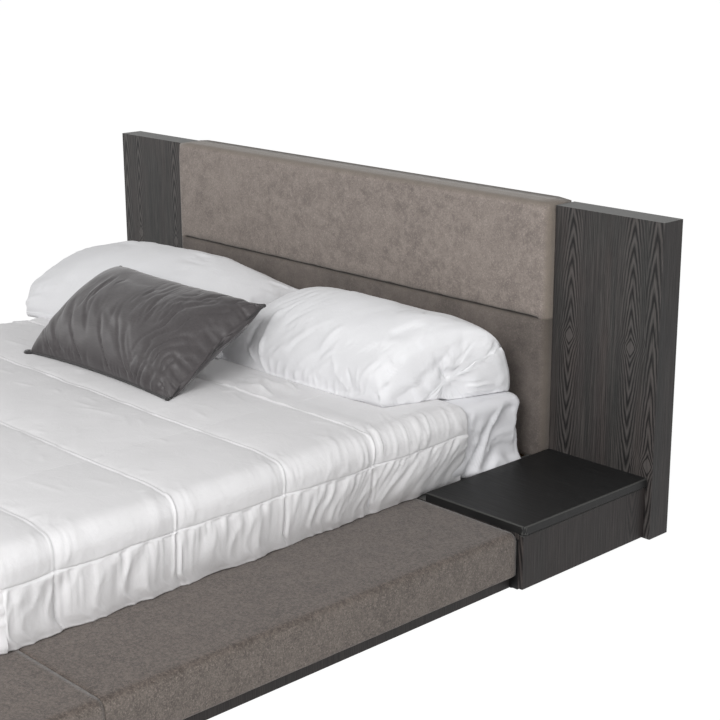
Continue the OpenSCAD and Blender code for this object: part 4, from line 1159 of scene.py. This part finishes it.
def sag_front(points, u, t):
    """The pillow in front slopes down to its right end, and its underside lies on the bed there."""
    hold = np.clip(2 - np.abs(u), 0, 1)
    end = smooth(0.5, 1.0, u)
    points[:, 2] -= 0.036 * end * smooth(-0.3, 0.9, np.cos(t) * hold)
    points[:, 0] -= 0.014 * end + 0.02 * smooth(-0.5, -1.0, u)
    room = np.maximum(0, points[:, 2] - bed_top(points))
    points[:, 2] -= room * 0.92 * smooth(0.0, 0.45, -np.sin(t)) * hold * smooth(0.3, 0.95, u)
    return points


def round_behind(points, u, t):
    """The pillow behind is domed at its left end, and reaches behind the other at its right."""
    across = np.cos(t) * np.clip(2 - np.abs(u), 0, 1)
    end = smooth(-0.3, -1.0, u)
    points[:, 0] -= end * (0.085 * (1 - across**2) - 0.040 * smooth(-0.5, -1.0, across))
    points[:, 0] += 0.10 * smooth(0.2, 1.0, u)
    # Its crown is highest left of its middle, and falls away to both ends
    above = np.clip((points[:, 2] - 0.44) / 0.25, 0, 1)
    crown = 0.012 * smooth(-0.75, -0.35, u) * smooth(0.65, 0.35, u)
    points[:, 2] += above * (crown - 0.036 * smooth(-0.30, -0.95, u) - 0.044 * smooth(0.4, 1.0, u))
    return points


def cushion_relief(u, t):
    """The satin cushion's pleats: bowed ones from its front edge, straight fine ones up its middle and a
    rumpled right end. Valleys are sharp, as gathered satin has them."""
    v = np.cos(t)
    upper = smooth(0.0, 0.25, np.sin(t)) * (np.abs(u) <= 1)
    s = np.clip((v + 1) / 1.1, 0, 1)
    root = u + 0.46 * (1 - (1 - s) ** 1.7)
    half_x = 0.41

    def valleys(place, slow, scale, seed):
        return np.maximum(ridged(stack(place, slow, 0), scale, seed) - 0.55, 0) / 0.45

    pleats = valleys(root * half_x, s * 0.03, 0.034, 401) ** 1.5
    pleats *= smooth(1.0, 0.35, s) * smooth(0.0, 0.04, s)
    pleats *= smooth(-0.85, -0.55, root) * smooth(0.72, 0.45, root)
    fine = valleys(u * half_x + 0.02 * v, v * 0.012, 0.016, 402)
    fine *= smooth(-0.05, 0.1, u) * smooth(0.45, 0.3, u) * smooth(-0.2, 0.1, v)
    rumpled = valleys(u * half_x - 0.10 * v + 0.012 * np.sin(v * 9), v * 0.10, 0.030, 403)
    rumpled *= smooth(0.35, 0.6, u)
    gathers = valleys(v * 0.24 + 0.1 * u, (1 - u) * 0.02, 0.014, 404) * smooth(0.75, 0.97, u)
    hem = valleys(u * half_x, s * 0.05, 0.018, 405) * smooth(0.14, 0.0, np.minimum(s, 1 - 0.5 * (v + 1)))
    return -upper * MM * (8.0 * pleats + 2.4 * fine + 6.0 * rumpled + 4.0 * gathers + 3.0 * hem)


def pillow(name, node, form, material, *, extra, cap, seed, folds=(), bending=0.4, warp=None,
           relief=None):
    """A stuffed case whose seam holds while the rest of it swells and wrinkles."""
    points, faces, u, t = case_mesh(form)
    points = settle(warp(points, u, t) if warp else points)
    piece = make_piece(name, points, faces, material, [node])
    normals = normals_of(piece)
    seam = np.abs(np.sin(t))
    swell = value_noise(points, 0.13, seed) * 2.4 * MM + value_noise(points, 0.05, seed + 1) * 1.2 * MM
    given = creases(points, form_folds(form, folds)) + (relief(u, t) if relief else 0.0)
    resting = points[:, 2] < bed_top(points) + 1.5 * MM
    pins = np.where(resting, 1.0, np.where((seam < 0.03) & (np.abs(u) <= 1), 0.95, 0.0))
    simulate(piece, pins, extra, cap, bending)
    outward = (swell - 1.5 * MM) * smooth(0.0, 0.25, seam) + given
    set_points(piece, settle(points_of(piece) + normals * outward[:, None]))


# The cushion's piping, and its ear at a corner: how far out, how far aside and how thick, in millimetres
PIPING_R = 4.2
EAR = ((0, -7, 5.0), (5, -7.5, 5.6), (9, -4, 6.2), (10, 0, 6.4), (9, 4, 6.2), (5, 7.5, 5.6), (0, 7, 5.0))


def tube(name, path, radii, material):
    """A closed round cord along a path of points: piping."""
    n, sides = len(path), 8
    ahead = np.roll(path, -1, axis=0) - np.roll(path, 1, axis=0)
    ahead /= np.linalg.norm(ahead, axis=1, keepdims=True)
    flat = np.cross(ahead, (0.0, 0.35, 1.0))
    flat /= np.linalg.norm(flat, axis=1, keepdims=True)
    other = np.cross(ahead, flat)
    angles = [2 * math.pi * k / sides for k in range(sides)]
    points = [path + (flat * math.cos(a) + other * math.sin(a)) * radii[:, None] for a in angles]
    strips = [range(k * n, k * n + n) for k in range(sides)]
    faces = [face for k in range(sides) for face in band(strips[k], strips[(k + 1) % sides])]
    make_piece(name, np.concatenate(points), faces, material)


def cushion_piping(form):
    """Piping round the cushion's edge, with an ear at each corner where it is turned over."""
    corners = np.array([(-1, 1), (1, 1), (1, -1), (-1, -1)])
    path, radii = [], []

    def edge(place):
        """The seam at u along and v across."""
        u, v = place
        if abs(v) > 0.999:
            return on_form(form, u * 0.999, 0 if v > 0 else 180)
        angle = math.degrees(math.acos(v))
        return (on_form(form, u * 0.999, angle) + on_form(form, u * 0.999, -angle)) / 2

    for k, here in enumerate(corners):
        ahead, beyond = corners[(k + 1) % 4], corners[(k + 2) % 4]
        path += [edge(here + (ahead - here) * s) for s in np.linspace(0.03, 0.97, 60)]
        radii += [PIPING_R] * 60
        # The ear: out along the diagonal and back
        corner = edge(ahead)
        before, after = path[-1], edge(ahead + (beyond - ahead) * 0.03)
        out = corner - (before + after) / 2
        out /= np.linalg.norm(out)
        across = (after - before) / np.linalg.norm(after - before)
        size = (0.7, 0.7, 0.7, 1.5)[(k + 1) % 4]
        for along, aside, radius in EAR:
            path.append(corner + (out * (along - 4) + across * aside) * size * MM)
            radii.append(max(PIPING_R, radius * size))
    path = np.array(path)
    path[:, 2] = np.maximum(path[:, 2], bed_top(path) + 5 * MM)
    tube("cushion_piping", path, np.array(radii) * MM, piping_shade_satin)


# The pillow in front, with its folds given one by one. Valleys have a height below 0
FRONT_FOLDS = [
    # The gathered left end: a ridge down its front, and the valley behind it
    (-0.55, 107, -0.48, 138, 13, 7),
    (-0.48, 138, -0.44, 162, 11, 8),
    (-0.44, 162, -0.36, 176, 9, 6),
    (-0.66, 118, -0.62, 160, 15, -9),
    (-0.65, 150, -0.50, 170, 8, 5),
    # Front: broad leaning folds
    (0.24, 112, 0.19, 139, 12, 3.4, -8, 0, 0),
    (0.19, 139, 0.02, 160, 11, 3.8, -8, 0, 0),
    (0.10, 108, -0.18, 140, 13, 3.0, 0, 0, 6),
    (-0.18, 140, -0.30, 158, 10, 3.4),
    (0.30, 125, 0.22, 150, 9, -2.8, -6, 0, 0),
    (0.00, 125, -0.12, 150, 9, -2.6, -6, 0, 0),
    (0.34, 140, 0.46, 158, 10, 3.2, 6, 0, 0),
    (0.46, 158, 0.62, 172, 9, 4.0, 6, 0, 0),
    (0.57, 150, 0.66, 170, 7, -4.5, 4, 0, 0),
    # Corner: folds that spread up from it like a fan
    (0.76, 176, 0.86, 138, 9, 6, -6, 0, 0),
    (0.83, 176, 0.95, 140, 8, 5, -5, 0, 0),
    (0.90, 176, 1.02, 146, 8, 6),
    (0.96, 172, 1.08, 137, 9, 7, 0, 0, 4),
    (0.72, 172, 0.70, 150, 8, 4, 6, 0, 0),
    (0.88, 165, 0.90, 120, 11, -4),
    # Right end: the open V, with its light facet between two valleys
    (1.14, 90, 1.44, 58, 9, -7),
    (1.44, 58, 1.36, 356, 9, -6),
    (1.16, 94, 1.50, 96, 8, -8),
    (1.50, 96, 1.74, 290, 8, -6),
    (1.26, 84, 1.80, 40, 13, 7),
    (1.03, 62, 1.14, 30, 12, 7),
    (1.14, 30, 1.16, 350, 12, 8),
    (1.16, 350, 1.08, 322, 10, 6),
    (1.20, 60, 1.30, 20, 12, -5),
    (1.60, 300, 1.30, 330, 7, 5, 0, 0, 4),
    (1.72, 320, 1.40, 345, 7, 4.5, 0, 0, 3),
    (1.52, 192, 1.36, 140, 8, 6),
    (1.60, 230, 1.58, 150, 9, -6),
    (1.44, 250, 1.66, 200, 8, 5),
]


def behind_folds():
    """The pillow behind is smooth, with a few folds towards its open end and its long edges."""
    between = np.random.default_rng(41).uniform
    folds = [(-0.99, 172, -0.80, 150, 14, 6), (-0.97, 150, -0.78, 120, 12, 4)]
    for _ in range(8):
        a = between(25, 165)
        u = -0.99 + between(0.1, 0.3)
        folds.append((-0.99, a, u, a + between(-8, 8), between(9, 16), between(1.5, 4)))
    for _ in range(14):
        u = between(-0.7, 0.9)
        folds.append((u, 12, u + between(-0.06, 0.06), between(35, 60), between(10, 20), between(1, 2.4)))
    return folds


def front_folds():
    """The listed folds, and the small rumples between them."""
    between = np.random.default_rng(43).uniform
    folds = list(FRONT_FOLDS)
    for k in range(15):
        u = -0.30 + 0.95 * k / 14 + between(-0.02, 0.02)
        folds.append((u, 178, u + between(-0.03, 0.06), between(158, 168), between(5, 9), between(2, 4)))
    for _ in range(16):
        u, a = between(-0.4, 0.6), between(110, 165)
        folds.append((u, a, u - between(0.02, 0.12), a + between(5, 18), between(7, 12), between(0.8, 2.0)))
    for _ in range(12):
        u, a = 1.0 + 0.5 * between(), between(-60, 140)
        folds.append((u, a, u + between(0.05, 0.25), a + between(-25, 25), between(6, 10), between(1, 3)))
    return folds


# ---- Camera, lights and floor ----


def make_camera():
    """The photograph's view, from the bed's right-hand front."""
    yaw, pitch, roll = (math.radians(a) for a in (-46.43, 16.05, -0.26))
    ahead = Vector((math.sin(yaw) * math.cos(pitch), math.cos(yaw) * math.cos(pitch), -math.sin(pitch)))
    right = ahead.cross(Vector((0, 0, 1))).normalized()
    up = right.cross(ahead)
    right, up = right * math.cos(roll) + up * math.sin(roll), up * math.cos(roll) - right * math.sin(roll)
    lens = bpy.data.cameras.new("camera")
    lens.sensor_width = 36
    lens.lens = 78.94
    lens.clip_end = 200
    camera = add_object("camera", lens)
    turn = Matrix((right, up, -ahead)).transposed().to_4x4()
    camera.matrix_world = Matrix.Translation((4.198, -2.8104, 1.9723)) @ turn
    bpy.context.scene.camera = camera


def area_lamp(name, place, target, size, power):
    """A large soft square lamp."""
    light = bpy.data.lights.new(name, "AREA")
    light.shape = "RECTANGLE"
    light.size = light.size_y = size
    light.energy = power
    lamp = add_object(name, light)
    lamp.location = place
    lamp.rotation_euler = (Vector(target) - Vector(place)).to_track_quat("-Z", "Y").to_euler()


def show_to_eye(s, output, plain, seen, share):
    """Shows one shader to the eye, directly, in a gloss or through glass, and another to all other light."""
    ray = s.node("ShaderNodeLightPath").outputs
    total = Wire(s, ray["Is Camera Ray"])
    for kind in ("Is Glossy Ray", "Is Transmission Ray"):
        total = s.calc("MAXIMUM", total, Wire(s, ray[kind]))
    if share < 1:
        total = total * share
    mixer = s.node("ShaderNodeMixShader")
    for socket, source in zip(mixer.inputs, (total, Wire(s, plain.outputs[0]), Wire(s, seen.outputs[0]))):
        s.give(socket, source)
    s.give(s.tree.nodes[output].inputs["Surface"], Wire(s, mixer.outputs[0]))


def make_stage():
    """A white floor that keeps the bed's shadow, a white sky, and soft lamps at a plain level."""
    mesh = bpy.data.meshes.new("floor")
    mesh.from_pydata([(-60, -60, 0), (60, -60, 0), (60, 60, 0), (-60, 60, 0)], [], [(0, 1, 2, 3)])
    floor = add_object("floor", mesh)
    floor.location.z = -0.5 * MM
    s = Shader(bpy.data.materials.new("floor_white"))
    diffuse = s.tree.nodes["Principled BSDF"]
    s.give(diffuse.inputs["Base Color"], (0.86, 0.86, 0.86, 1))
    s.give(diffuse.inputs["Roughness"], 1.0)
    s.give(diffuse.inputs["Specular IOR Level"], 0.0)
    show_to_eye(s, "Material Output", diffuse, s.node("ShaderNodeEmission", Strength=1.08), 0.9)
    mesh.materials.append(s.holder)

    world = bpy.data.worlds.new("world")
    bpy.context.scene.world = world
    s = Shader(world)
    sky = s.tree.nodes["Background"]
    s.give(sky.inputs["Color"], (1, 1, 1, 1))
    s.give(sky.inputs["Strength"], 0.40)
    show_to_eye(s, "World Output", sky, s.node("ShaderNodeBackground", Color=(1, 1, 1, 1), Strength=1.0), 1)

    area_lamp("key", (3.2, -5.0, 3.8), (0, 0.4, 0.4), 3.0, 270)
    area_lamp("fill", (7.0, -0.6, 2.8), (0.6, 0.2, 0.3), 1.8, 85)
    area_lamp("left", (-5.5, -2.4, 2.6), (-0.9, 0.7, 0.5), 2.0, 52)
    bpy.context.scene.view_settings.view_transform = "Standard"


dress_frame()
headboard_pad()
rail_cover("right", 1)
rail_cover("left", -1)
foot_cover()
fitted_sheet()
comforter()
pillow(
    "pillow_behind", "pillow_left", LEFT_PILLOW, case_cotton,
    extra=0.02, cap=0.007, seed=101, folds=behind_folds(), warp=round_behind,
)
pillow(
    "pillow_in_front", "pillow_right", RIGHT_PILLOW, case_cotton,
    extra=0.035, cap=0.010, seed=111, folds=front_folds(), warp=sag_front,
)
pillow(
    "satin_cushion", "accent_cushion", ACCENT, cushion_satin,
    extra=0.03, cap=0.005, seed=121, bending=0.10, relief=cushion_relief,
)
cushion_piping(ACCENT)
make_camera()
make_stage()
